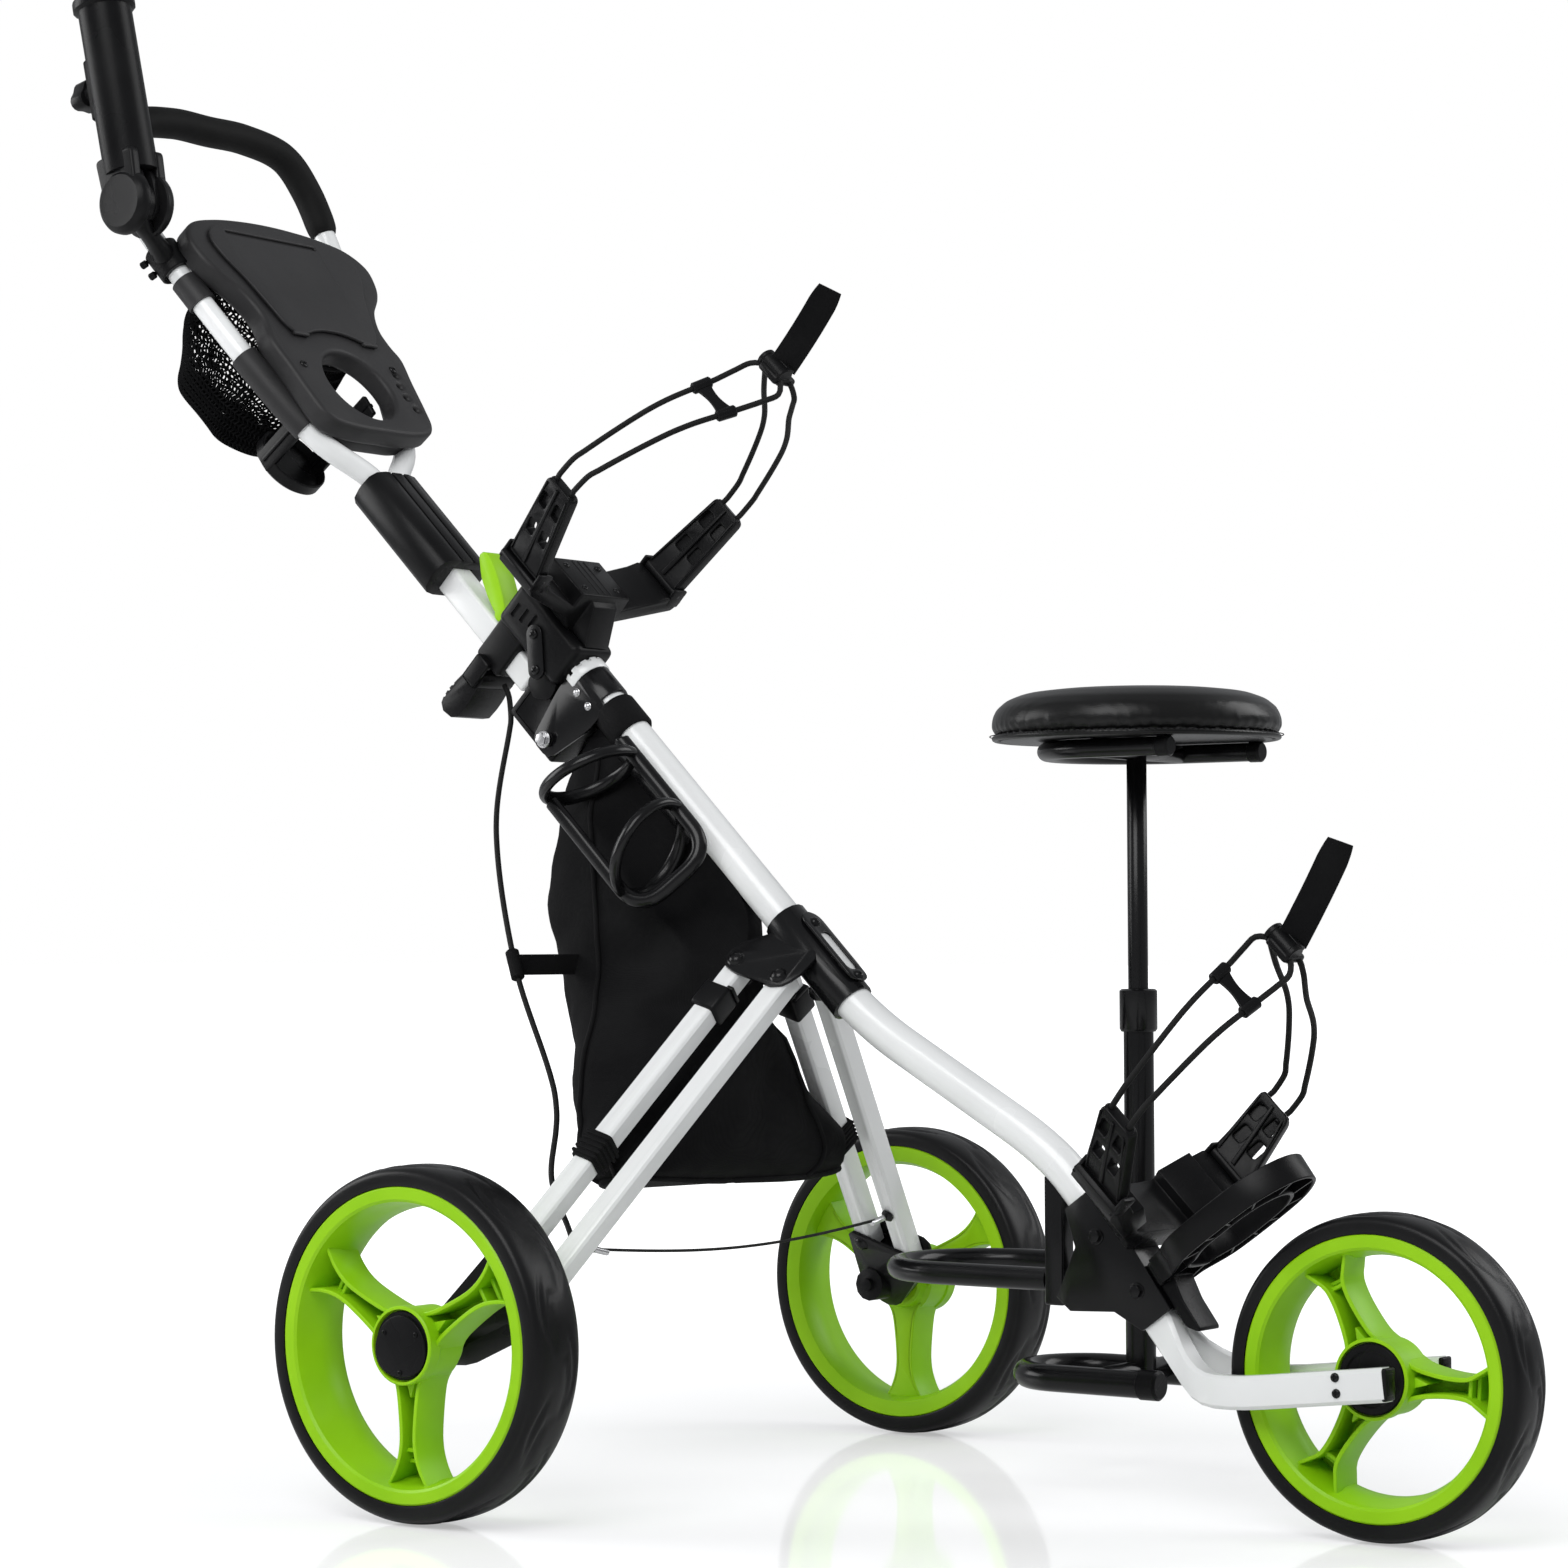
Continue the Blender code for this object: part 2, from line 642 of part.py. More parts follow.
def leg_frame(side, at):
    """Frame of a rear leg: x forward between the pivots, y up the leg, z along the pins."""
    top = Vector((PIVOT_TOP[0], side * PIVOT_TOP[1], PIVOT_TOP[2]))
    foot = Vector((PIVOT_FOOT[0], side * PIVOT_FOOT[1], PIVOT_FOOT[2]))
    up = (top - foot).normalized()
    step = Vector((PIVOT_STEP[0], 0.0, -PIVOT_STEP[1]))
    ahead = (step - up * step.dot(up)).normalized()
    pins = ahead.cross(up)
    turn = Matrix((ahead, up, pins)).transposed().to_4x4()
    return Matrix.Translation(top if at == "top" else foot) @ turn


LEG_L = (Vector(PIVOT_TOP) - Vector(PIVOT_FOOT)).length
STEP = Vector(PIVOT_STEP).length


def pins(outward):
    """A headed rivet through each leg of a pair, its head on the outer cheek."""
    reach = LEG / 2.0 + RUN + WING_T
    made = []
    for x in (0.0, -STEP):
        made.append(rod((x, 0, -outward * (reach - WING_T / 2)), (x, 0, outward * reach), PIN_R, 8))
        made.append(rod((x, 0, outward * (reach - 0.001)), (x, 0, outward * (reach + 0.004)), PIN_HEAD_R, 10,
                        PIN_HEAD_R * 0.6))
    return made


def build_centre_bracket():
    """Saddle on the main tube with a wing on each side, windowed on top, and the leg rivets."""
    outer = TUBE_R + GAP + SADDLE_T
    saddle = rod((SADDLE_FROM, 0, 0), (SADDLE_TO, 0, 0), outer, 16)
    shapes = []
    to_line = LINE.inverted()
    for _, side in SIDES:
        outward = -side
        near = LEG / 2.0 + RUN
        low, high = sorted((outward * near, outward * (near + WING_T)))
        outline = [(0.016, 0.004), (0.020, 0.034), (-0.030, 0.040), (-STEP - 0.010, 0.014),
                   (-STEP - 0.011, -0.006), (-STEP, -0.012), (0.004, -0.012)]
        placed = to_line @ leg_frame(side, "top")
        wing = plate([rounded(outline, 0.006, 1, True)], low, high)
        for shape in [wing] + pins(outward):
            shape.data.transform(placed)
            shapes.append(shape)
    bore = tube(tube_path(), TUBE_R + GAP, 4)
    bore.data.transform(to_line)
    mid = (SADDLE_FROM + SADDLE_TO) / 2.0
    window = rod((mid + 0.012, 0, TUBE_R / 2), (mid + 0.012, 0, TUBE_R * 2), 0.009, 16)
    keep(cut(fuse(saddle, *shapes), bore, window), "centre_bracket", "black_steel", ROOT, LINE)


LEG_AXES = {}
FOOT_AXES = {}
WHEEL_AXES = {}


def build_leg_axes():
    """Empties on the leg pivots, the foot pivots and the rear wheel axles."""
    for name, side in SIDES:
        top, foot = leg_frame(side, "top"), leg_frame(side, "foot")
        behind = Vector((-STEP, 0.0, 0.0))
        LEG_AXES[name, "front"] = axis_empty(name + "_front_leg_axis", top.translation, ROOT)
        LEG_AXES[name, "rear"] = axis_empty(name + "_rear_leg_axis", top @ behind, ROOT)
        FOOT_AXES[name] = axis_empty(name + "_foot_axis", foot.translation, LEG_AXES[name, "front"])
        hub = Vector((0.0, side * (TRACK_FACE_Y - REAR_TYRE_W / 2.0), REAR_R))
        WHEEL_AXES[name] = axis_empty(name + "_wheel_axis", hub, FOOT_AXES[name])


def build_legs():
    """Two parallel square legs on each side, drilled for the rivets at both ends."""
    half = LEG / 2.0
    for name, side in SIDES:
        for which, x in (("front", 0.0), ("rear", -STEP)):
            leg = block((x - half, -LEG_L - LEG_OVER, -half), (x + half, LEG_OVER, half), 0.002)
            holes = [rod((x, y, -LEG), (x, y, LEG), PIN_R + RUN, 8) for y in (0.0, -LEG_L)]
            keep(cut(leg, *holes), name + "_" + which + "_leg", "white_paint",
                 LEG_AXES[name, which], leg_frame(side, "top"))


def build_wheel_brackets():
    """Diamond boxes at the feet of the legs, each with its axle stub."""
    for name, side in SIDES:
        frame = leg_frame(side, "foot")
        inside = frame.inverted()
        outward = -side
        near = LEG / 2.0 + RUN
        wall = near + WING_T
        axle = inside @ Vector((0.0, side * (AXLE_INNER_Y + 0.034), REAR_R))
        outline = [(0.016, 0.011), (0.017, -0.014), (axle.x + 0.020, axle.y - 0.012),
                   (axle.x, axle.y - 0.021), (axle.x - 0.021, axle.y), (-STEP - 0.014, -0.014),
                   (-STEP - 0.013, 0.011)]
        box = plate([rounded(outline, 0.005, 1, True)], -wall, wall)
        slot = block((-STEP - 0.05, -0.0125 - RUN, -near), (0.05, 0.05, near))
        stub_from = Vector((0.0, side * AXLE_INNER_Y, REAR_R))
        stub_to = Vector((0.0, side * (TRACK_FACE_Y - CAP_T - 0.008), REAR_R))
        boss_to = Vector((0.0, side * (TRACK_FACE_Y - HUB_W - CAP_T - 0.004), REAR_R))
        stub = rod(stub_from, stub_to, AXLE_R, 12)
        boss = rod(stub_from + Vector((0, side * 0.006, 0)), boss_to, 0.015, 12)
        room = rod(boss_to, boss_to + Vector((0.0, side * REAR_TYRE_W, 0.0)), REAR_R, 24)
        for shape in (stub, boss, room):
            shape.data.transform(inside)
        made = fuse(cut(box, slot, room), *pins(-outward), stub, boss)
        keep(made, name + "_wheel_bracket", "black_plastic", FOOT_AXES[name], frame)


def build_wheel(name, pivot, centre, side, radius, tyre_t, width, through):
    """Foam tyre, three-spoke rim and hub cap; the outer face looks to side."""
    turn = Matrix.Translation(centre) @ Matrix.Rotation(math.radians(-90.0 * side), 4, "X")
    half = width / 2.0
    rim_r = radius - tyre_t
    shoulder = radius - tyre_t * 0.45
    seat = rim_r - RIM_FLANGE
    tyre = [(rim_r + GAP, half), (shoulder, half * 0.98), (radius - 0.003, half * 0.62), (radius, 0.0),
            (radius - 0.003, -half * 0.62), (shoulder, -half * 0.98), (rim_r + GAP, -half),
            (seat + GAP, -half * 0.8), (seat + GAP, half * 0.8)]
    keep(turned(tyre, WHEEL_STEPS, True), name + "_tyre", "tyre_foam", pivot, turn)
    inner = rim_r - RIM_WALL
    rim = [(rim_r, half), (seat, half * 0.8), (seat, -half * 0.8), (rim_r, -half), (inner, -half * 0.98),
           (inner - 0.004, 0.0), (inner, half * 0.98)]
    barrel = turned(rim, WHEEL_STEPS, True)
    hub_top = half - CAP_T - GAP
    hub = rod((0, 0, hub_top - HUB_W), (0, 0, hub_top), HUB_R, 18)
    shapes = [hub]
    for k in range(SPOKES):
        spin = Matrix.Rotation(math.tau * k / SPOKES, 4, "Z")
        root, tip, reach = HUB_R * 0.6, SPOKE_TIP, inner + 0.003
        waist = SPOKE_ROOT
        mid = (HUB_R + inner) * 0.5
        outer = [(root, waist), (mid, waist * 0.95), (inner * 0.86, tip * 0.68), (reach, tip)]
        pocket_from, pocket_to = HUB_R + 0.006, inner - 0.006
        w = SPOKE_WALL
        hollow = [(pocket_from, waist - w), (mid, waist * 0.95 - w), (inner * 0.86, tip * 0.68 - w),
                  (pocket_to, tip * 0.86 - w)]
        spoke = plate([[(x, y) for x, y in outer] + [(x, -y) for x, y in reversed(outer)],
                       [(x, y) for x, y in hollow] + [(x, -y) for x, y in reversed(hollow)]],
                      hub_top - SPOKE_W - 0.004, hub_top - 0.004, spin)
        shapes.append(spoke)
    bore = rod((0, 0, -0.1), (0, 0, 0.1 if through else hub_top - 0.006), AXLE_R + RUN, 12)
    keep(cut(fuse(barrel, *shapes), bore), name + "_rim", "green_plastic", pivot, turn)
    eye = AXLE_R + RUN if through else 0.0
    cap = turned([(eye, half), (CAP_R * 0.8, half), (CAP_R, half - CAP_T * 0.6), (CAP_R, half - CAP_T),
                  (eye, half - CAP_T)], 20, through)
    keep(cap, name + "_hub_cap", "black_plastic", pivot, turn)


def build_wheels():
    """Rear wheels on their stubs and the front wheel in the fork."""
    for name, side in SIDES:
        centre = Vector((0.0, side * (TRACK_FACE_Y - REAR_TYRE_W / 2.0), REAR_R))
        build_wheel(name, WHEEL_AXES[name], centre, side, REAR_R, REAR_TYRE_T, REAR_TYRE_W, False)
    build_wheel("front", FRONT, FRONT_AXLE, -1.0, FRONT_R, FRONT_TYRE_T, FRONT_TYRE_W, True)


def build_hinge_clevis():
    """Band on the main tube with two cheeks that hold the fold bolt."""
    near = TUBE_R + GAP
    outline = [(BAND_FROM - 0.012, 0.006), (BAND_TO + 0.010, 0.006), (BAND_TO + 0.010, -0.020),
               (FOLD_ALONG + 0.013, FOLD_ABOVE - 0.012), (FOLD_ALONG - 0.013, FOLD_ABOVE - 0.012),
               (BAND_FROM - 0.012, -0.020)]
    shape = rounded(outline, 0.008, 2, True)
    band = rod((BAND_FROM, 0, 0), (BAND_TO, 0, 0), near + CHEEK_T, 16)
    face = near - 0.0004
    cheeks = [plate([shape], low, low + CHEEK_T, UPRIGHT) for low in (face, -face - CHEEK_T)]
    bolt = rod((FOLD_ALONG, -near - 0.001, FOLD_ABOVE), (FOLD_ALONG, near + 0.001, FOLD_ABOVE), PIN_R, 10)
    heads = [rod((FOLD_ALONG, s * (near + 0.001), FOLD_ABOVE), (FOLD_ALONG, s * (near + 0.008), FOLD_ABOVE),
                 PIN_HEAD_R, 8) for s in (-1.0, 1.0)]
    bore = tube(tube_path(), near, 4)
    bore.data.transform(LINE.inverted())
    keep(cut(fuse(band, *cheeks, bolt, *heads), bore), "hinge_clevis", "black_steel", ROOT, LINE)


def build_clamp_housing():
    """Moulded housing over the end of the main tube, with the fold sleeve and the brake lugs."""
    half, square = HOUSING_W / 2.0, UPPER_SIZE / 2.0 + GAP
    body = block((HOUSING_FROM, -half, HOUSING_LOW), (TUBE_TOP - GAP, half, HOUSING_TOP), 0.006)
    cheek = TUBE_R - 0.0004
    sleeve = block((UPPER_END - 0.001, -cheek, FOLD_ABOVE - 0.0145),
                   (SLEEVE_TO, cheek, UPPER_ABOVE + 0.0135), 0.002)
    lugs = [block((BRAKE_PIVOT[0] - 0.009, low, BRAKE_PIVOT[1] - 0.008),
                  (BRAKE_PIVOT[0] + 0.009, low + 0.004, HOUSING_LOW + 0.004), 0.001)
            for low in (BRAKE_HALF + GAP, -BRAKE_HALF - GAP - 0.004)]
    pocket = block((UPPER_TOP, -square, UPPER_ABOVE - square),
                   (UPPER_END + GAP, square, UPPER_ABOVE + square))
    bolt = rod((FOLD_ALONG, -0.1, FOLD_ABOVE), (FOLD_ALONG, 0.1, FOLD_ABOVE), PIN_R + GAP, 16)
    pin = rod((BRAKE_PIVOT[0], -0.1, BRAKE_PIVOT[1]), (BRAKE_PIVOT[0], 0.1, BRAKE_PIVOT[1]),
              BRAKE_PIN + GAP, 12)
    keep(cut(fuse(body, sleeve, *lugs), pocket, bolt, pin), "clamp_housing", "black_plastic", FOLD, LINE)
    tube_half = UPPER_SIZE / 2.0
    bar = block((UPPER_TOP, -tube_half, UPPER_ABOVE - tube_half),
                (UPPER_END, tube_half, UPPER_ABOVE + tube_half), 0.0025)
    keep(bar, "upper_tube", "white_paint", FOLD, LINE)


def build_levers():
    """Ribbed brake lever under the housing and the green release lever above the square tube."""
    at, above = BRAKE_PIVOT
    outline = [(0.010, 0.0), (0.013, -0.022), (0.011, -0.044), (-0.010, -0.048), (-0.015, -0.034),
               (-0.013, -0.018), (-0.010, 0.0)]
    body = plate([rounded([(at + x, above + z) for x, z in outline], 0.005, 1, True)],
                 -BRAKE_HALF, BRAKE_HALF, UPRIGHT)
    barrel = rod((at, -BRAKE_HALF, above), (at, BRAKE_HALF, above), BRAKE_BARREL, 16)
    pin = rod((at, -BRAKE_HALF - 0.004, above), (at, BRAKE_HALF + 0.004, above), BRAKE_PIN, 12)
    grooves = [block((at - 0.04, -BRAKE_HALF - 0.01, above - z - 0.0015),
                     (at - 0.0125, BRAKE_HALF + 0.01, above - z + 0.0015)) for z in (0.022, 0.029, 0.036)]
    keep(cut(fuse(body, barrel, pin), *grooves), "brake_lever", "black_plastic", BRAKE, LINE)
    at, above = RELEASE_PIVOT
    r = RELEASE_R
    outline = [(r * 0.7, r * 0.7), (-0.010, 0.014), (-0.030, 0.024), (-0.052, 0.030), (-0.058, 0.022),
               (-0.040, 0.008), (-0.020, 0.0), (-0.004, -r * 0.6)]
    body = plate([rounded([(at + x, above + z) for x, z in outline], 0.005, 2, True)],
                 -RELEASE_HALF, RELEASE_HALF, UPRIGHT)
    barrel = rod((at, -RELEASE_HALF, above), (at, RELEASE_HALF, above), r, 16)
    keep(fuse(body, barrel), "release_lever", "green_plastic", RELEASE, LINE)


def loop_path():
    """Centre line of the handle loop, in the tube line's frame."""
    half = [Vector((t, y, n)) for t, n, y in LOOP_POINTS]
    return smooth(half + [Vector((p.x, -p.y, p.z)) for p in reversed(half[:-1])], LOOP_R * 3.2)


def build_handle():
    """Bent loop, the foam grip round its top and the ribbed connector round its root."""
    path = loop_path()
    keep(tube(path, LOOP_R, 2), "handle_loop", "white_paint", FOLD, LINE)
    held = [p for p in path if p.x < GRIP_FROM]
    keep(cut(tube(held, GRIP_R, 2), tube(path, LOOP_R + GAP, 2)), "foam_grip", "foam", FOLD, LINE)
    half = CONNECT_W / 2.0
    low, high = UPPER_ABOVE + 0.002 - CONNECT_H / 2, UPPER_ABOVE + 0.002 + CONNECT_H / 2
    section = rounded([(-half, low), (half, low), (half, high), (-half, high)], CONNECT_H * 0.44, 3, True)
    body = plate([section], CONNECT_FROM, CONNECT_TO, ACROSS)
    square = UPPER_SIZE / 2.0 + GAP
    pocket = block((UPPER_TOP - GAP, -square, UPPER_ABOVE - square), (0.0, square, UPPER_ABOVE + square))
    grooves = [block((CONNECT_FROM - 0.01, y - 0.0016, high - 0.0015),
                     (CONNECT_TO + 0.01, y + 0.0016, high + 0.01)) for y in (-0.008, 0.008)]
    made = cut(body, pocket, tube(path, LOOP_R + GAP, 2), *grooves)
    keep(made, "handle_connector", "black_plastic", FOLD, LINE)


def circle(x, y, radius, count):
    """Points of a round hole."""
    return [(x + radius * math.cos(math.tau * k / count), y + radius * math.sin(math.tau * k / count))
            for k in range(count)]


def clamp_ring(frame, half):
    """Ends of the umbrella clamp's ring on the loop, in a frame."""
    place = frame.inverted() @ LINE
    return [place @ Vector((CLAMP_ALONG + k, -CLAMP_Y - k * CLAMP_SPLAY, CLAMP_ABOVE - k * 0.13))
            for k in (-half, half)]


def build_console():
    """Tray with the cup hole, the tee holes and the lidded compartment; lid; cup rest."""
    top = TRAY_LOW + TRAY_H
    outline = rounded(mirrored([(-0.252, 0.0), (-0.247, 0.060), (-0.234, 0.106), (-0.214, 0.122),
                                (-0.188, 0.116), (-0.150, 0.092), (-0.110, 0.078), (-0.060, 0.076),
                                (-0.020, 0.081), (0.006, 0.078), (0.012, 0.066)]), 0.008, 1, True)
    pitch = (CUP_R * 1.4) / TEE_COUNT
    tees = []
    for k in range(TEE_COUNT):
        at = CUP_X + (k - (TEE_COUNT - 1) / 2) * pitch
        tees.append(rod((at, CUP_R + 0.022, TRAY_LOW - 0.01), (at, CUP_R + 0.022, top + 0.01), TEE_R, 8))
    tray = plate([outline, circle(CUP_X, 0.0, CUP_R, 28)], TRAY_LOW, top)
    lid_outline = [(LID_FROM, 0.0), (LID_FROM + 0.004, 0.060), (LID_FROM + 0.014, 0.092),
                   (LID_FROM + 0.026, LID_HALF_TOP), (LID_FROM + 0.048, LID_HALF_TOP * 0.96),
                   (LID_TO - 0.050, LID_HALF_LOW * 1.17), (LID_TO - 0.016, LID_HALF_LOW),
                   (LID_TO, LID_HALF_LOW * 0.9), (LID_TO, CUP_R * 0.7), (LID_TO - 0.004, 0.0)]
    middle = (LID_FROM + LID_TO) / 2.0
    inside = [(middle + (x - middle) * 0.88, y * 0.88) for x, y in lid_outline]
    room = plate([mirrored(inside)], TRAY_LOW + TRAY_WALL, top + 0.01)
    notch = rod(*clamp_ring(HANDLE, CLAMP_HALF + GAP), LOOP_R + CLAMP_WALL + RUN, 20)
    keep(cut(tray, room, notch, *tees), "console_tray", "charcoal_plastic", FOLD, HANDLE)
    lid = plate([rounded(mirrored(lid_outline), 0.005, 1, True)], top + GAP, top + GAP + LID_T)
    keep(lid, "console_lid", "charcoal_plastic", LID, HANDLE)
    low = TRAY_LOW - GAP
    dish = rod((CUP_X, 0, -CUP_DROP), (CUP_X, 0, -CUP_DROP + 0.007), CUP_REST_R, 24)
    straps = [block((CUP_X - 0.010, y - 0.0025, -CUP_DROP + 0.001), (CUP_X + 0.010, y + 0.0025, low), 0.001)
              for y in (-CUP_REST_R + 0.003, CUP_REST_R - 0.003)]
    feet = [block((CUP_X - 0.014, y - 0.008, low - 0.003), (CUP_X + 0.014, y + 0.008, low))
            for y in (-CUP_REST_R - 0.004, CUP_REST_R + 0.004)]
    keep(fuse(dish, *straps, *feet), "cup_rest", "black_plastic", FOLD, HANDLE)


def build_net():
    """Open mesh pouch under the compartment."""
    work = bmesh.new()
    rows, columns = 5, 12
    middle = (LID_FROM + LID_TO) / 2.0 - 0.002
    half_x = (LID_TO - LID_FROM) / 2.0 + 0.012
    half_y = half_x * 0.92
    rim = TRAY_LOW - GAP - NET_WIRE / 2.0
    rings = []
    for i in range(rows):
        f = i / (rows - 1)
        size = math.cos(f * 1.25) ** 0.5
        drop = rim - (NET_DEPTH + rim) * math.sin(f * math.pi / 2.0)
        turns = [math.tau * (k + 0.5 * (i % 2)) / columns for k in range(columns)]
        points = [(middle + half_x * size * math.cos(a), half_y * size * math.sin(a), drop) for a in turns]
        rings.append([work.verts.new(point) for point in points])
    for upper, lower in zip(rings, rings[1:]):
        for k in range(columns):
            work.faces.new((upper[k], upper[(k + 1) % columns], lower[(k + 1) % columns], lower[k]))
    pouch = from_bmesh(work)
    wire = pouch.modifiers.new("strands", "WIREFRAME")
    wire.thickness = NET_WIRE
    wire.use_replace = True
    wire.use_boundary = True
    wire.use_even_offset = False
    keep(pouch, "ball_net", "nylon", FOLD, HANDLE)


def build_umbrella():
    """Clamp on the loop's right side, the tilting holder tube and its screw knob."""
    here = HOLDER.inverted() @ LINE
    ring_at = HOLDER.inverted() @ line_point(CLAMP_ALONG, CLAMP_ABOVE, -CLAMP_Y)
    ring = clamp_ring(HOLDER, CLAMP_HALF)
    tongue_r = KNUCKLE_R * 0.8
    tongue_t = KNUCKLE_W / 2.0
    body = rod(ring[0], ring[1], LOOP_R + CLAMP_WALL, 16)
    tongue = rod((0, -tongue_t / 2, 0), (0, tongue_t / 2, 0), tongue_r, 16)
    foot = Vector((ring_at.x, 0.0, ring_at.z))
    web = loft([[Vector((-0.012, y, 0.0)), Vector((0.012, y, 0.0)), foot + Vector((0.010, y, 0.0)),
                 foot + Vector((-0.010, y, 0.0))] for y in (-tongue_t * 0.45, tongue_t * 0.45)])
    cross = rod(foot - Vector((0, tongue_t / 2, 0)), ring_at, 0.011, 12)
    pin = rod((0, -KNUCKLE_W, 0), (0, KNUCKLE_W, 0), PIN_R, 12)
    path = loop_path()
    bore = tube(path, LOOP_R + GAP, 2)
    bore.data.transform(here)
    keep(cut(fuse(body, cross, web, tongue, pin), bore), "umbrella_clamp", "black_plastic", FOLD, HOLDER)
    base, top = KNUCKLE_R + 0.002, KNUCKLE_R + UMBRELLA_L
    floor = base + 0.005
    holder = turned([(0.0, floor), (UMBRELLA_BORE, floor), (UMBRELLA_BORE, top), (UMBRELLA_R + 0.003, top),
                     (UMBRELLA_R + 0.004, top - 0.003), (UMBRELLA_R + 0.004, top - 0.009),
                     (UMBRELLA_R, top - 0.011), (UMBRELLA_R, base), (0.0, base)], 20)
    ear_low = tongue_t / 2 + GAP
    ear = rounded([(-0.020, base + 0.004), (-0.020, -0.018), (0.020, -0.018), (0.020, base + 0.004)],
                  0.017, 3, True)
    ears = [plate([ear], low, low + 0.006, UPRIGHT) for low in (ear_low, -ear_low - 0.006)]
    pad = block((-UMBRELLA_R - KNOB_PAD, -0.012, KNOB_UP - 0.030),
                (-(UMBRELLA_R + UMBRELLA_BORE) / 2.0, 0.012, KNOB_UP + 0.030), 0.003)
    hole = rod((0, -0.1, 0), (0, 0.1, 0), PIN_R + GAP, 12)
    keep(cut(fuse(holder, pad, *ears), hole), "umbrella_holder", "black_plastic", TILT, HOLDER)
    lobes = []
    for a in [math.tau * k / 24 for k in range(24)]:
        reach = KNOB_R * (0.84 + 0.16 * math.cos(3 * a))
        lobes.append((reach * math.cos(a), reach * math.sin(a)))
    face = -UMBRELLA_R - KNOB_PAD - GAP
    placed = Matrix.Translation((0.0, 0.0, KNOB_UP)) @ Matrix.Rotation(math.radians(-90.0), 4, "Y")
    knob = plate([lobes], -face + 0.004, -face + 0.018, placed)
    neck = rod((face, 0, KNOB_UP), (face - 0.006, 0, KNOB_UP), KNOB_R * 0.55, 16)
    keep(fuse(knob, neck), "umbrella_knob", "black_plastic", KNOB, HOLDER)


def cradle(low, foot_half, crown_half, crown, hinge, pad):
    """Arms of a bag bracket across the line: a flat crown, pads, and grooves for the clip barrels."""
    half = CRADLE_W / 2.0
    hinge_y, hinge_n = hinge
    tip = hinge_n - CLIP_PIN_R * 0.5
    root = Vector((foot_half + 0.012, low + 0.026))
    inner = Vector((hinge_y - 0.022, tip - 0.006))
    run = (inner - root).normalized()
    rise = Vector((-run.y, run.x)) * pad
    outline = [(foot_half, low), (foot_half + 0.010, low + 0.012), (hinge_y + 0.004, tip - 0.014),
               (hinge_y + 0.010, tip - 0.004), (hinge_y + 0.008, tip), (hinge_y - 0.012, tip), inner]
    if pad:
        outline += [inner - run * 0.003, inner - run * 0.005 + rise,
                    root + run * 0.005 + rise, root + run * 0.003]
    outline += [root, (crown_half, crown)]
    body = plate([outline + [(-y, n) for y, n in reversed(outline)]], -half, half, ACROSS)
    grooves = [rod((-half - 0.01, s * hinge_y, hinge_n), (half + 0.01, s * hinge_y, hinge_n),
                   CLIP_PIN_R + GAP, 16) for s in (-1.0, 1.0)]
    return cut(body, *grooves)


def clip(length, skew):
    """Windowed clip plate on its barrel: z up the plate, x along the barrel."""
    half = CLIP_W / 2.0
    top = half - 0.005
    outline = rounded([(-half, 0.001), (half, 0.001), (top + skew, length), (-top + skew, length)],
                      0.004, 1, True)
    windows = []
    for row in (0.42, 0.76):
        for k in (-1.0, 1.0):
            x = skew * row + k * half * 0.42
            z = length * row
            windows.append(block((x - 0.0045, -CLIP_T, z - 0.006), (x + 0.0045, CLIP_T, z + 0.006)))
    body = plate([outline], -CLIP_T / 2, CLIP_T / 2, UPRIGHT)
    barrel = rod((-half, 0, 0), (half, 0, 0), CLIP_PIN_R, 12)
    return cut(fuse(body, barrel), *windows)


def clip_frame(along, hinge, lean, side):
    """Frame on a clip's hinge, leaning outwards, in its bracket's line."""
    return Matrix.Translation((along, side * hinge[0], hinge[1])) @ Matrix.Rotation(
        math.radians(-side * lean), 4, "X")


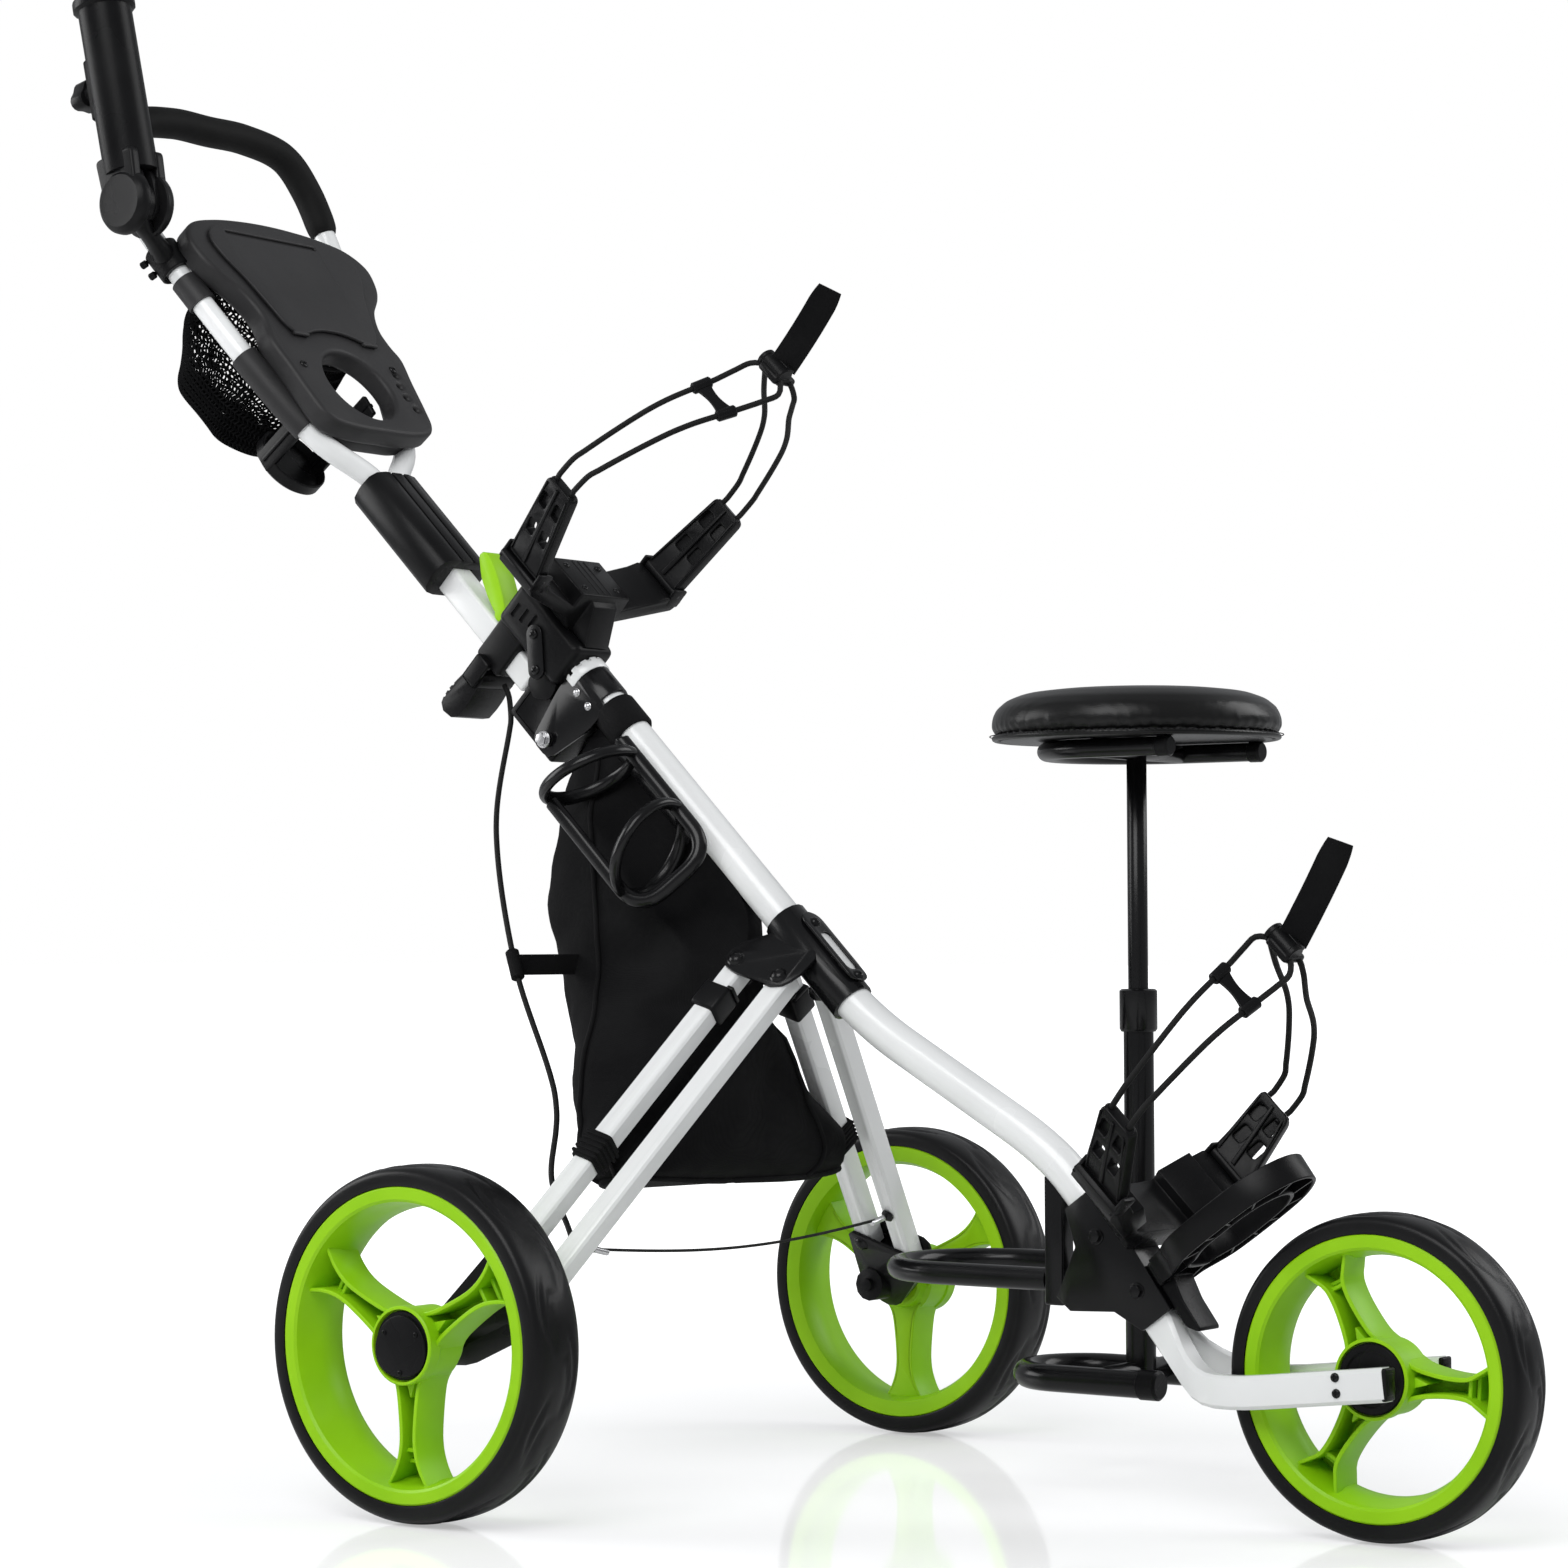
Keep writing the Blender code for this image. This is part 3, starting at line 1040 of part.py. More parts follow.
def build_brackets():
    """Upper bracket on the clamp housing, lower bracket and rest hoop on the gusset, four clips."""
    low = HOUSING_TOP + GAP
    made = cradle(low, 0.022, CROWN_HALF, low + CROWN_H, UPPER_HINGE, 0.0)
    front = CRADLE_W / 2.0
    buttress = plate([[(front - 0.004, low), (front + 0.024, low), (front + 0.006, low + CROWN_H * 0.8),
                       (front - 0.004, low + CROWN_H * 0.9)]], -CROWN_HALF / 2, CROWN_HALF / 2, UPRIGHT)
    keep(fuse(made, buttress), "upper_cradle", "black_plastic", FOLD,
         LINE @ Matrix.Translation((UPPER_CRADLE, 0, 0)))
    shift = LOWER_LINE @ Matrix.Translation((LOWER_CRADLE, 0, 0))
    low = LOWER_HINGE[1] - 0.060
    made = cradle(low, 0.028, 0.022, low + 0.024, LOWER_HINGE, PAD_T)
    under = block((-0.3, -0.3, -0.3), (0.3, 0.3, TUBE_R + GUSSET_WALL + GAP))
    under.data.transform(shift.inverted() @ FORK)
    keep(cut(made, under), "lower_cradle", "black_plastic", ROOT, shift)
    for name, side in SIDES:
        for which, line, along, hinge, length, lean, skew, parent in (
                ("upper", LINE, UPPER_CRADLE, UPPER_HINGE, UPPER_CLIP_L, UPPER_LEAN, 0.0, FOLD),
                ("lower", LOWER_LINE, LOWER_CRADLE, LOWER_HINGE, LOWER_CLIP_L, LOWER_LEAN, LOWER_SKEW, ROOT)):
            frame = line @ clip_frame(along, hinge, lean, side)
            pivot = axis_empty(which + "_clip_" + name + "_axis", frame.translation, parent)
            keep(clip(length, skew), which + "_clip_" + name, "black_plastic", pivot, frame)
    base = TUBE_R + GUSSET_WALL + GAP
    outer = mirrored([(base, 0.017), (base + 0.018, 0.022), (base + 0.045, REST_HALF * 0.93),
                      (base + 0.085, REST_HALF), (base + 0.120, REST_HALF * 0.92),
                      (base + 0.143, REST_HALF * 0.6), (REST_TOP, 0.014)])
    inner = mirrored([(base + 0.040, 0.0), (base + 0.042, 0.012), (base + 0.060, REST_WINDOW),
                      (base + 0.100, REST_WINDOW), (base + 0.122, REST_WINDOW * 0.75), (base + 0.134, 0.008),
                      (base + 0.135, 0.0)])
    outlines = [[(y, x) for x, y in rounded(outer, 0.010, 1, True)],
                [(y, x) for x, y in rounded(inner, 0.008, 1, True)]]
    hoop = plate(outlines, REST_AT - REST_DEPTH / 2, REST_AT + REST_DEPTH / 2, ACROSS)
    lip = base + 0.001
    scoop = plate([[(REST_AT, lip), (REST_AT + 0.048, lip), (REST_AT + 0.058, lip + 0.010),
                    (REST_AT + 0.030, lip + 0.010), (REST_AT, lip + 0.016)]], -0.0155, 0.0155, UPRIGHT)
    keep(fuse(hoop, scoop), "bag_rest", "black_plastic", ROOT, FORK)


def cage_spine(margin):
    """Bar between the main tube and the bottle, grown by a margin."""
    reach = Vector(BOTTLE_AT).length - BOTTLE_R - CAGE_WIRE
    aim = Matrix.Rotation(math.atan2(BOTTLE_AT[1], BOTTLE_AT[0]) - math.pi, 4, "X")
    grow = Vector((margin, margin, margin))
    spine = block(Vector((CAGE_FROM - 0.012, -reach - 0.002, -0.009)) - grow,
                  Vector((CAGE_TO + 0.012, -TUBE_R * 0.8, 0.009)) + grow)
    spine.data.transform(aim)
    return spine


def build_cage():
    """Bottle cage of round bar on a saddle beside the main tube."""
    ring_r = BOTTLE_R + CAGE_WIRE
    away = Vector((0.0, BOTTLE_AT[0], BOTTLE_AT[1]))
    spine = cage_spine(0.0)
    shapes = []
    for along in (CAGE_FROM, CAGE_TO):
        wire = [(ring_r + CAGE_WIRE * math.cos(a), CAGE_WIRE * math.sin(a))
                for a in [-math.tau * k / 6 for k in range(6)]]
        ring = turned(wire, 16, True)
        place = Matrix.Translation((along, away.y, away.z))
        ring.matrix_basis = place @ Matrix.Rotation(math.radians(90.0), 4, "Y")
        shapes.append(ring)
    for turn in (25.0, 115.0):
        a = math.radians(turn)
        over = Vector((0.0, math.cos(a), math.sin(a))) * ring_r
        foot = Vector((CAGE_TO + CAGE_FOOT, 0.0, 0.0))
        start = Vector((CAGE_FROM, 0.0, 0.0))
        path = [away + start + over, away + foot + over, away + foot - over, away + start - over]
        shapes.append(tube(rounded(path, 0.012, 2), CAGE_WIRE * 0.9, 1))
    bore = tube(tube_path(), TUBE_R + GAP, 4)
    bore.data.transform(LINE.inverted())
    keep(cut(fuse(spine, *shapes), bore), "bottle_cage", "black_plastic", ROOT, LINE)


def build_bag():
    """Soft storage bag behind the main tube, hung by a strap round it."""
    sections = []
    for z, middle, half_x, half_y in BAG_SECTIONS:
        ring = []
        for k in range(16):
            c, s = math.cos(math.tau * k / 16), math.sin(math.tau * k / 16)
            ring.append(Vector((middle + half_x * math.copysign(abs(c) ** 0.7, c),
                                half_y * math.copysign(abs(s) ** 0.7, s), z)))
        sections.append(ring)
    bag = loft(sections)
    strap = rod(line_point(STRAP_AT - 0.010, 0.0), line_point(STRAP_AT + 0.010, 0.0),
                TUBE_R + GAP + 0.003, 16)
    bore = tube(tube_path(), TUBE_R + GAP, 4)
    away = Vector((0.0, BOTTLE_AT[0], BOTTLE_AT[1]))
    ends = [LINE @ (Vector((t, 0.0, 0.0)) + away) for t in (CAGE_FROM - 0.03, CAGE_TO + CAGE_FOOT + 0.02)]
    bottle = rod(ends[0], ends[1], BOTTLE_R + CAGE_WIRE * 2 + 0.002, 24)
    spine = cage_spine(0.002)
    spine.data.transform(LINE)
    keep(cut(fuse(bag, strap), bore, bottle, spine), "storage_bag", "nylon", ROOT)


def strap_cord(side, along, skew, hinge, length, lean, hook):
    """Path of one elastic loop: out of a clip, through the hook and back, in the line's frame."""
    frame = clip_frame(along, hinge, lean, side)
    hook = Vector((hook[0], side * HOOK_BORE_Y, hook[1]))
    strand = []
    for k in (-1.0, 1.0):
        out = frame @ Vector((skew + k * CORD_APART, 0.0, length + GAP))
        start = frame @ Vector((skew + k * CORD_APART, 0.0, length + 0.008))
        past = frame @ Vector((skew + k * CORD_APART, 0.0, length + 0.016))
        end = hook + Vector((k * (HOOK_L / 2 + 0.007), side * 0.004, -0.007))
        mid = past.lerp(end, 0.5) + Vector((0.0, side * 0.012, 0.006))
        near = past.lerp(end, 0.82) + Vector((0.0, side * 0.004, 0.001))
        strand.append([out, start, past, mid, near, end, hook + Vector((k * (HOOK_L / 2 - 0.002), 0.0, 0.0))])
    return smooth(strand[0] + list(reversed(strand[1])), CORD_R * 6.0)


def build_straps():
    """Elastic loops of the bag brackets, with the strand clips and the hooks with their pull tabs."""
    for which, line, pivot, along, hinge, length, lean, skew, hook in (
            ("upper", LINE, FOLD, UPPER_CRADLE, UPPER_HINGE, UPPER_CLIP_L, UPPER_LEAN, 0.0, UPPER_HOOK),
            ("lower", LOWER_LINE, ROOT, LOWER_CRADLE, LOWER_HINGE, LOWER_CLIP_L, LOWER_LEAN, LOWER_SKEW,
             LOWER_HOOK)):
        bores = []
        for name, side in SIDES:
            path = strap_cord(side, along, skew, hinge, length, lean, hook)
            keep(tube(path, CORD_R, 2), which + "_cord_" + name, "elastic", pivot, line)
            bores.append(path)
        at = Vector((hook[0], 0.0, hook[1]))
        body = block(at - Vector((HOOK_L / 2, HOOK_BORE_Y + 0.0065, 0.0065)),
                     at + Vector((HOOK_L / 2, HOOK_BORE_Y + 0.0065, 0.0065)), 0.003)
        tab = block(at + Vector((-TAB_W / 2, -0.001, 0.004)), at + Vector((TAB_W / 2, 0.001, TAB_L)), 0.0004)
        made = cut(fuse(body, tab), *[tube(path, CORD_R + GAP, 2) for path in bores])
        keep(made, which + "_hook", "black_plastic", pivot, line)
        path = bores[0]
        spots = [path[SLIDER_POINT], path[-1 - SLIDER_POINT]]
        runs = [path[SLIDER_POINT + 1] - path[SLIDER_POINT - 1],
                path[-SLIDER_POINT] - path[-2 - SLIDER_POINT]]
        barrels = [rod(p - d.normalized() * 0.008, p + d.normalized() * 0.008, CORD_R + 0.0025, 12)
                   for p, d in zip(spots, runs)]
        web = tube([spots[0], spots[1]], 0.0035, 2)
        made = cut(fuse(barrels[0], barrels[1], web), tube(path, CORD_R + GAP, 2))
        keep(made, which + "_slider", "black_plastic", pivot, line)


def build_cables():
    """Brake cable from the handle to the right foot, tie between the legs, and the brake arm."""
    frame = leg_frame(-1.0, "foot")
    wall = LEG / 2.0 + RUN + WING_T
    hung = [line_point(*CABLE_FROM), Vector((-0.190, -0.010, 0.660)), Vector((-0.165, -0.060, 0.560)),
            Vector((-0.110, -0.100, 0.440)), Vector((-0.045, -0.125, 0.330)), Vector((-0.020, -0.160, 0.262)),
            frame @ Vector((-STEP / 2 - 0.006, 0.066, -wall - 0.010)),
            frame @ Vector((-STEP / 2 + 0.001, 0.038, -wall - 0.004))]
    keep(tube(smooth(hung, CABLE_R * 7.0), CABLE_R, 2), "brake_cable", "elastic", ROOT)
    reach = LEG / 2.0
    ends = [leg_frame(s, "foot") @ Vector((0.0, TIE_UP, s * (reach + 0.004))) for s in (-1.0, 1.0)]
    eyes = [rod(leg_frame(s, "foot") @ Vector((0.0, TIE_UP, s * (reach + GAP))),
                leg_frame(s, "foot") @ Vector((0.0, TIE_UP, s * (reach + 0.007))), PIN_R, 10)
            for s in (-1.0, 1.0)]
    sag = [ends[0].lerp(ends[1], k / 12) - Vector((0, 0, TIE_SAG * math.sin(math.pi * k / 12)))
           for k in range(13)]
    keep(fuse(tube(sag, TIE_R, 2), *eyes), "tie_cable", "elastic", ROOT)
    x, y = ARM_AT
    middle = -STEP / 2
    shape = [(x - 0.006, y - 0.006), (x + 0.006, y - 0.006), (middle + 0.0045, 0.0), (middle + 0.006, 0.030),
             (middle - 0.003, 0.034), (middle - 0.0045, 0.0)]
    face = -wall - GAP
    pivot = axis_empty("brake_arm_axis", frame @ Vector((x, y, face)), FOOT_AXES["right"])
    arm = plate([rounded(shape, 0.004, 2, True)], face - 0.005, face)
    boss = rod((x, y, face), (x, y, face - 0.007), 0.008, 12)
    keep(fuse(arm, boss), "brake_arm", "black_steel", pivot, frame)


def centre_model():
    """Moves the model so that the origin lies under the middle of its box."""
    graph = bpy.context.evaluated_depsgraph_get()
    lows, highs = [], []
    for item in PARTS.objects:
        if item.type == "MESH" and "cord" not in item.name and "cable" not in item.name:
            corners = [item.matrix_world @ v.co for v in item.evaluated_get(graph).data.vertices]
            lows.append(min(c.x for c in corners))
            highs.append(max(c.x for c in corners))
    ROOT.location.x = -(min(lows) + max(highs)) / 2.0


build_main_tube()
build_fork()
build_gusset()
build_seat_carrier()
build_seat_stand()
build_seat()
build_centre_bracket()
build_leg_axes()
build_legs()
build_wheel_brackets()
build_wheels()
build_hinge_clevis()
build_clamp_housing()
build_levers()
build_handle()
build_console()
build_net()
build_umbrella()
build_brackets()
build_cage()
build_bag()
build_straps()
build_cables()
bpy.context.view_layer.update()
centre_model()
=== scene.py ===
import json
from collections import namedtuple
from math import atan2, copysign, cos, exp, hypot, pi, radians, sin, tau

import bmesh
import bpy
from mathutils import Matrix, Vector, noise
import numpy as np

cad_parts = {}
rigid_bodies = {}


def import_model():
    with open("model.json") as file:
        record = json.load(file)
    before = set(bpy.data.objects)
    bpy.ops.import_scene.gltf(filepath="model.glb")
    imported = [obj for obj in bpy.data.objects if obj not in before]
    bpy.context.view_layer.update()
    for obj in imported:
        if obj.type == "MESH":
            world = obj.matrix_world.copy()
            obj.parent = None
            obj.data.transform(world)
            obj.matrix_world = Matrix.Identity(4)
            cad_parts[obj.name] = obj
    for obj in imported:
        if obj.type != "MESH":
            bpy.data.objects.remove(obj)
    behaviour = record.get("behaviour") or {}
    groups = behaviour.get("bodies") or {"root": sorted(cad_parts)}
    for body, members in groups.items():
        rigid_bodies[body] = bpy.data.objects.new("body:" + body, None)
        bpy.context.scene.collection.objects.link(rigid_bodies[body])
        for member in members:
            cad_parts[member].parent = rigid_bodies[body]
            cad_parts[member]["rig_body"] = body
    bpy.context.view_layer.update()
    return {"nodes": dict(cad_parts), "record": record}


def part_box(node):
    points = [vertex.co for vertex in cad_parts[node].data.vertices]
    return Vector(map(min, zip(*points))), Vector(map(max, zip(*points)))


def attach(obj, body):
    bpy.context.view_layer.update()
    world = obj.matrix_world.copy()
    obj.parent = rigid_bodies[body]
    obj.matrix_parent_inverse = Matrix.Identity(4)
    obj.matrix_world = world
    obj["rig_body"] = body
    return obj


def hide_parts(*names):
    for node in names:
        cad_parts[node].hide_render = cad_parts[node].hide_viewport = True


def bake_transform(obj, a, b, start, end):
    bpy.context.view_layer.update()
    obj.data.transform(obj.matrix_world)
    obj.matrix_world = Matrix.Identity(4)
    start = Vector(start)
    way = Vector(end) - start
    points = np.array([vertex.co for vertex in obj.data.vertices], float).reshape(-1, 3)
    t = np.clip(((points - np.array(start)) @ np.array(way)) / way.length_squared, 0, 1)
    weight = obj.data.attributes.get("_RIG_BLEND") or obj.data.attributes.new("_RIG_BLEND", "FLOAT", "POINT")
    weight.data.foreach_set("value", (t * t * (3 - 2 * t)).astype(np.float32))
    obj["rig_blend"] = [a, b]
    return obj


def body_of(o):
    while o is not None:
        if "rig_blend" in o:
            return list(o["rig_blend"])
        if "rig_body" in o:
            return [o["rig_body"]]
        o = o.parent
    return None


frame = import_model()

NODES = frame["nodes"]
SCENE = bpy.context.scene

# Sizes of the trolley, as its source has them
WHEELBASE = 0.674
GAP = 0.0003
REAR_R, REAR_TYRE_T, REAR_TYRE_W, TRACK_FACE_Y = 0.142, 0.0165, 0.056, 0.372
FRONT_R, FRONT_TYRE_T, FRONT_TYRE_W = 0.1255, 0.0155, 0.05
HUB_R, HUB_W, AXLE_R, CAP_R, CAP_T = 0.03, 0.046, 0.006, 0.029, 0.004
SPOKE_W, SPOKE_ROOT, SPOKE_TIP = 0.034, 0.011, 0.021
TUBE_R, TUBE_BEND_R = 0.016, 0.045
LEG = 0.019
PIVOT_TOP, PIVOT_FOOT, PIVOT_STEP = (0.126, 0.03, 0.4225), (0.053, 0.262, 0.176), (0.044, 0.0145)
STEP = hypot(*PIVOT_STEP)
LOOP_R, GRIP_R, GRIP_FROM = 0.0105, 0.0148, -1.165
LOOP_POINTS = ((-0.8, -0.04, 0.0165), (-0.869, -0.034, 0.0165), (-0.92, -0.03, 0.06), (-1.0, -0.018, 0.092),
               (-1.08, -0.007, 0.112), (-1.16, 0.004, 0.128), (-1.2, 0.014, 0.132), (-1.245, 0.034, 0.124),
               (-1.275, 0.05, 0.1), (-1.285, 0.055, 0.05), (-1.285, 0.055, 0.0))
TRAY_LOW, TRAY_TOP, LID_FROM, LID_TO, LID_T = 0.0112, 0.0332, -0.24, -0.1, 0.004
CUP_X, CUP_R, CUP_DROP, CUP_REST_R = -0.046, 0.041, 0.085, 0.036
SEAT_X, SEAT_Y, SEAT_R, SEAT_LOW, SEAT_H = 0.366, 0.15, 0.128, 0.627, 0.045
CORD_R, CORD_APART, HOOK_L, HOOK_BORE_Y = 0.0025, 0.011, 0.028, 0.0075
CABLE_R, TIE_R, TIE_UP, TIE_SAG = 0.0025, 0.0013, 0.06, 0.012
BOTTLE_AT, BOTTLE_R, CAGE_WIRE, CAGE_FROM, CAGE_TO = (-0.055, -0.03), 0.037, 0.004, -0.48, -0.385
WHITE = (1.0, 1.0, 1.0, 1.0)
FLOOR_HALF = 40.0
CAMERA_TURN, CAMERA_AT = (36.21, -2.12, -0.26), (2.096, -2.718, 0.469)
FOCAL_PX, PHOTO_PX, SENSOR = 3945.0, 1568.0, 36.0
COVER_VOXEL, COVER_PRESSURE, COVER_FRAMES, COVER_SMOOTHING = 0.005, 4.0, 20, 30
NET_THREAD = 0.0029

# Angles above which a piece keeps its edges sharp
MOULDED, BENT, SOFT = 34.0, 50.0, 60.0

# Bag brackets: place on the line, hinge, clip, hook and the body they belong to
Bracket = namedtuple("Bracket", "name along hinge length lean skew hook body")
BRACKETS = (Bracket("upper", -0.627, (0.095, 0.074), 0.088, 15.0, 0.0, (-0.598, 0.327), "handle"),
            Bracket("lower", 0.15, (0.097, 0.122), 0.063, 24.0, -0.016, (0.0976, 0.324), "frame"))


def shift(x, y=0.0, z=0.0):
    """Matrix of a move."""
    return Matrix.Translation((x, y, z))


def spin(axis, degrees):
    """Matrix of a turn about an axis."""
    return Matrix.Rotation(radians(degrees), 4, axis)


def sideways(side):
    """Turn that points z out to one side of the trolley."""
    return spin("X", -90.0 * side)


# Frames: the tube line, the handle's plane, the fork and the umbrella tube
SHIFT = (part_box("front_tyre")[0][0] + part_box("front_tyre")[1][0]) / 2.0 - WHEELBASE
ORIGIN = shift(SHIFT)
LINE = ORIGIN @ shift(0.292, 0.0, 0.292) @ spin("Y", 45.0)
HANDLE = LINE @ shift(-0.92, 0.0, -0.03) @ spin("Y", 8.1)
FORK_DIP = atan2(0.229 - 0.134, 0.497 - 0.428)
FORK = ORIGIN @ shift(0.428, 0.0, 0.229) @ Matrix.Rotation(FORK_DIP, 4, "Y")
HOLDER = ORIGIN @ shift(-0.497, -0.174, 1.135) @ spin("Y", -12.9)
UPRIGHT = spin("X", 90.0)
ACROSS = spin("Z", 90.0) @ UPRIGHT
SIDES = (("right", -1.0), ("left", 1.0))


def leg_frame(side, at):
    """Frame of a rear leg: x forward between the pivots, y up the leg, z along the pins."""
    top = Vector((PIVOT_TOP[0], side * PIVOT_TOP[1], PIVOT_TOP[2]))
    foot = Vector((PIVOT_FOOT[0], side * PIVOT_FOOT[1], PIVOT_FOOT[2]))
    up = (top - foot).normalized()
    step = Vector((PIVOT_STEP[0], 0.0, -PIVOT_STEP[1]))
    ahead = (step - up * step.dot(up)).normalized()
    turn = Matrix((ahead, up, ahead.cross(up))).transposed().to_4x4()
    return ORIGIN @ Matrix.Translation(top if at == "top" else foot) @ turn


LEG_L = (Vector(PIVOT_TOP) - Vector(PIVOT_FOOT)).length


# Camera at the photograph's place
def set_camera():
    """Camera of the photograph: its place, direction, roll and lens."""
    azimuth, elevation, roll = (radians(a) for a in CAMERA_TURN)
    ahead = Vector((-sin(azimuth) * cos(elevation), cos(azimuth) * cos(elevation), -sin(elevation)))
    level = Vector((cos(azimuth), sin(azimuth), 0.0))
    upright = level.cross(ahead)
    right = level * cos(roll) + upright * sin(roll)
    up = upright * cos(roll) - level * sin(roll)
    data = bpy.data.cameras.new("camera")
    data.sensor_width = SENSOR
    data.lens = FOCAL_PX * SENSOR / PHOTO_PX
    data.clip_end = 60.0
    camera = bpy.data.objects.new("camera", data)
    turn = Matrix((right, up, -ahead)).transposed().to_4x4()
    camera.matrix_world = ORIGIN @ shift(*CAMERA_AT) @ turn
    SCENE.collection.objects.link(camera)
    SCENE.camera = camera


def add_area(name, at, aim, size, power):
    """A soft square lamp."""
    data = bpy.data.lights.new(name, "AREA")
    data.shape = "SQUARE"
    data.size = size
    data.energy = power
    lamp = bpy.data.objects.new(name, data)
    lamp.location = at
    lamp.rotation_euler = (Vector(aim) - Vector(at)).to_track_quat("-Z", "Y").to_euler()
    SCENE.collection.objects.link(lamp)


def set_inputs(node, **values):
    """Sets a shader node's inputs, named with underscores for blanks."""
    for name, value in values.items():
        node.inputs[name.replace("_", " ")].default_value = value


def add_node(tree, kind, **values):
    """A shader node with its inputs set."""
    node = tree.nodes.new("ShaderNode" + kind)
    set_inputs(node, **values)
    return node


def set_world():
    """White surroundings that light the trolley softly."""
    world = bpy.data.worlds.new("studio")
    SCENE.world = world
    world.use_nodes = True
    tree = world.node_tree
    tree.nodes.clear()
    paths = add_node(tree, "LightPath")
    seen = add_node(tree, "Background", Color=WHITE, Strength=1.0)
    light = add_node(tree, "Background", Color=(0.95, 0.97, 1.0, 1.0), Strength=0.38)
    mix = add_node(tree, "MixShader")
    out = add_node(tree, "OutputWorld")
    link = tree.links.new
    link(paths.outputs["Is Camera Ray"], mix.inputs[0])
    link(light.outputs[0], mix.inputs[1])
    link(seen.outputs[0], mix.inputs[2])
    link(mix.outputs[0], out.inputs[0])


def add_floor():
    """Pale floor that keeps the shadow and turns white further out."""
    mesh = bpy.data.meshes.new("floor")
    mesh.from_pydata([(x, y, 0.0) for x, y in strip(FLOOR_HALF, FLOOR_HALF)], [], [(0, 1, 2, 3)])
    floor = bpy.data.objects.new("floor", mesh)
    floor.location.z = -0.0004
    SCENE.collection.objects.link(floor)
    look = bpy.data.materials.new("floor")
    look.use_nodes = True
    tree = look.node_tree
    shader = tree.nodes["Principled BSDF"]
    set_inputs(shader, Base_Color=(0.86, 0.86, 0.86, 1.0), Roughness=0.07, Specular_IOR_Level=0.5,
               Emission_Color=WHITE)
    paths = add_node(tree, "LightPath")
    place = add_node(tree, "NewGeometry")
    reach = add_node(tree, "VectorMath")
    reach.operation = "LENGTH"
    fade = add_node(tree, "MapRange", From_Min=0.5, From_Max=2.6, To_Min=0.42, To_Max=1.0)
    lift = add_node(tree, "Math")
    lift.operation = "MULTIPLY"
    link = tree.links.new
    link(place.outputs["Position"], reach.inputs[0])
    link(reach.outputs["Value"], fade.inputs["Value"])
    link(paths.outputs["Is Camera Ray"], lift.inputs[0])
    link(fade.outputs["Result"], lift.inputs[1])
    link(lift.outputs[0], shader.inputs["Emission Strength"])
    floor.data.materials.append(look)


def set_stage():
    """White studio with a pale floor and three soft lamps."""
    set_world()
    add_floor()
    middle = (0.0, 0.0, 0.6)
    add_area("key", (0.8, -3.2, 3.0), middle, 2.6, 105.0)
    add_area("side", (-3.4, -1.6, 1.8), middle, 2.2, 60.0)
    add_area("rim", (2.4, 2.6, 2.6), middle, 2.4, 60.0)
    SCENE.view_settings.view_transform = "Standard"


# Procedural finishes
LOOKS = {}


def finish(name, base, other, rough, grain_scale, grain_bump, drift=14.0, pattern="noise", metallic=0.0,
           coat=0.0, specular=0.5):
    """Adds a surface finish: drifting colour, roughness that follows it, and a fine grain as bump."""
    look = bpy.data.materials.new(name)
    look.use_nodes = True
    tree = look.node_tree
    link = tree.links.new
    shader = tree.nodes["Principled BSDF"]
    set_inputs(shader, Metallic=metallic, Coat_Weight=coat, Coat_Roughness=0.12, Specular_IOR_Level=specular)
    place = add_node(tree, "TexCoord")
    cloud = add_node(tree, "TexNoise", Scale=drift, Detail=3.0)
    ramp = add_node(tree, "ValToRGB")
    for stop, at, tone in zip(ramp.color_ramp.elements, (0.32, 0.7), (base, other)):
        stop.position = at
        stop.color = (*tone, 1.0)
    spread = add_node(tree, "MapRange", To_Min=rough[0], To_Max=rough[1])
    bump = add_node(tree, "Bump", Strength=grain_bump, Distance=0.0004)
    link(place.outputs["Object"], cloud.inputs["Vector"])
    link(cloud.outputs["Fac"], ramp.inputs["Fac"])
    link(ramp.outputs["Color"], shader.inputs["Base Color"])
    link(cloud.outputs["Fac"], spread.inputs["Value"])
    link(spread.outputs["Result"], shader.inputs["Roughness"])
    link(grain(tree, place, pattern, grain_scale), bump.inputs["Height"])
    link(bump.outputs["Normal"], shader.inputs["Normal"])
    LOOKS[name] = look


def grain(tree, place, pattern, scale):
    """Height of a fine grain: noise, leather cells or a weave."""
    link = tree.links.new
    if pattern == "weave":
        total = None
        for axis in "XYZ":
            wave = add_node(tree, "TexWave", Scale=scale, Distortion=0.4)
            wave.bands_direction = axis
            link(place.outputs["Object"], wave.inputs["Vector"])
            if total is None:
                total = wave.outputs["Fac"]
                continue
            both = add_node(tree, "Math")
            both.operation = "MAXIMUM"
            link(total, both.inputs[0])
            link(wave.outputs["Fac"], both.inputs[1])
            total = both.outputs[0]
        return total
    if pattern == "cells":
        fine = add_node(tree, "TexVoronoi", Scale=scale)
        fine.feature = "DISTANCE_TO_EDGE"
    else:
        fine = add_node(tree, "TexNoise", Scale=scale, Detail=4.0)
    link(place.outputs["Object"], fine.inputs["Vector"])
    return fine.outputs["Distance" if pattern == "cells" else "Fac"]


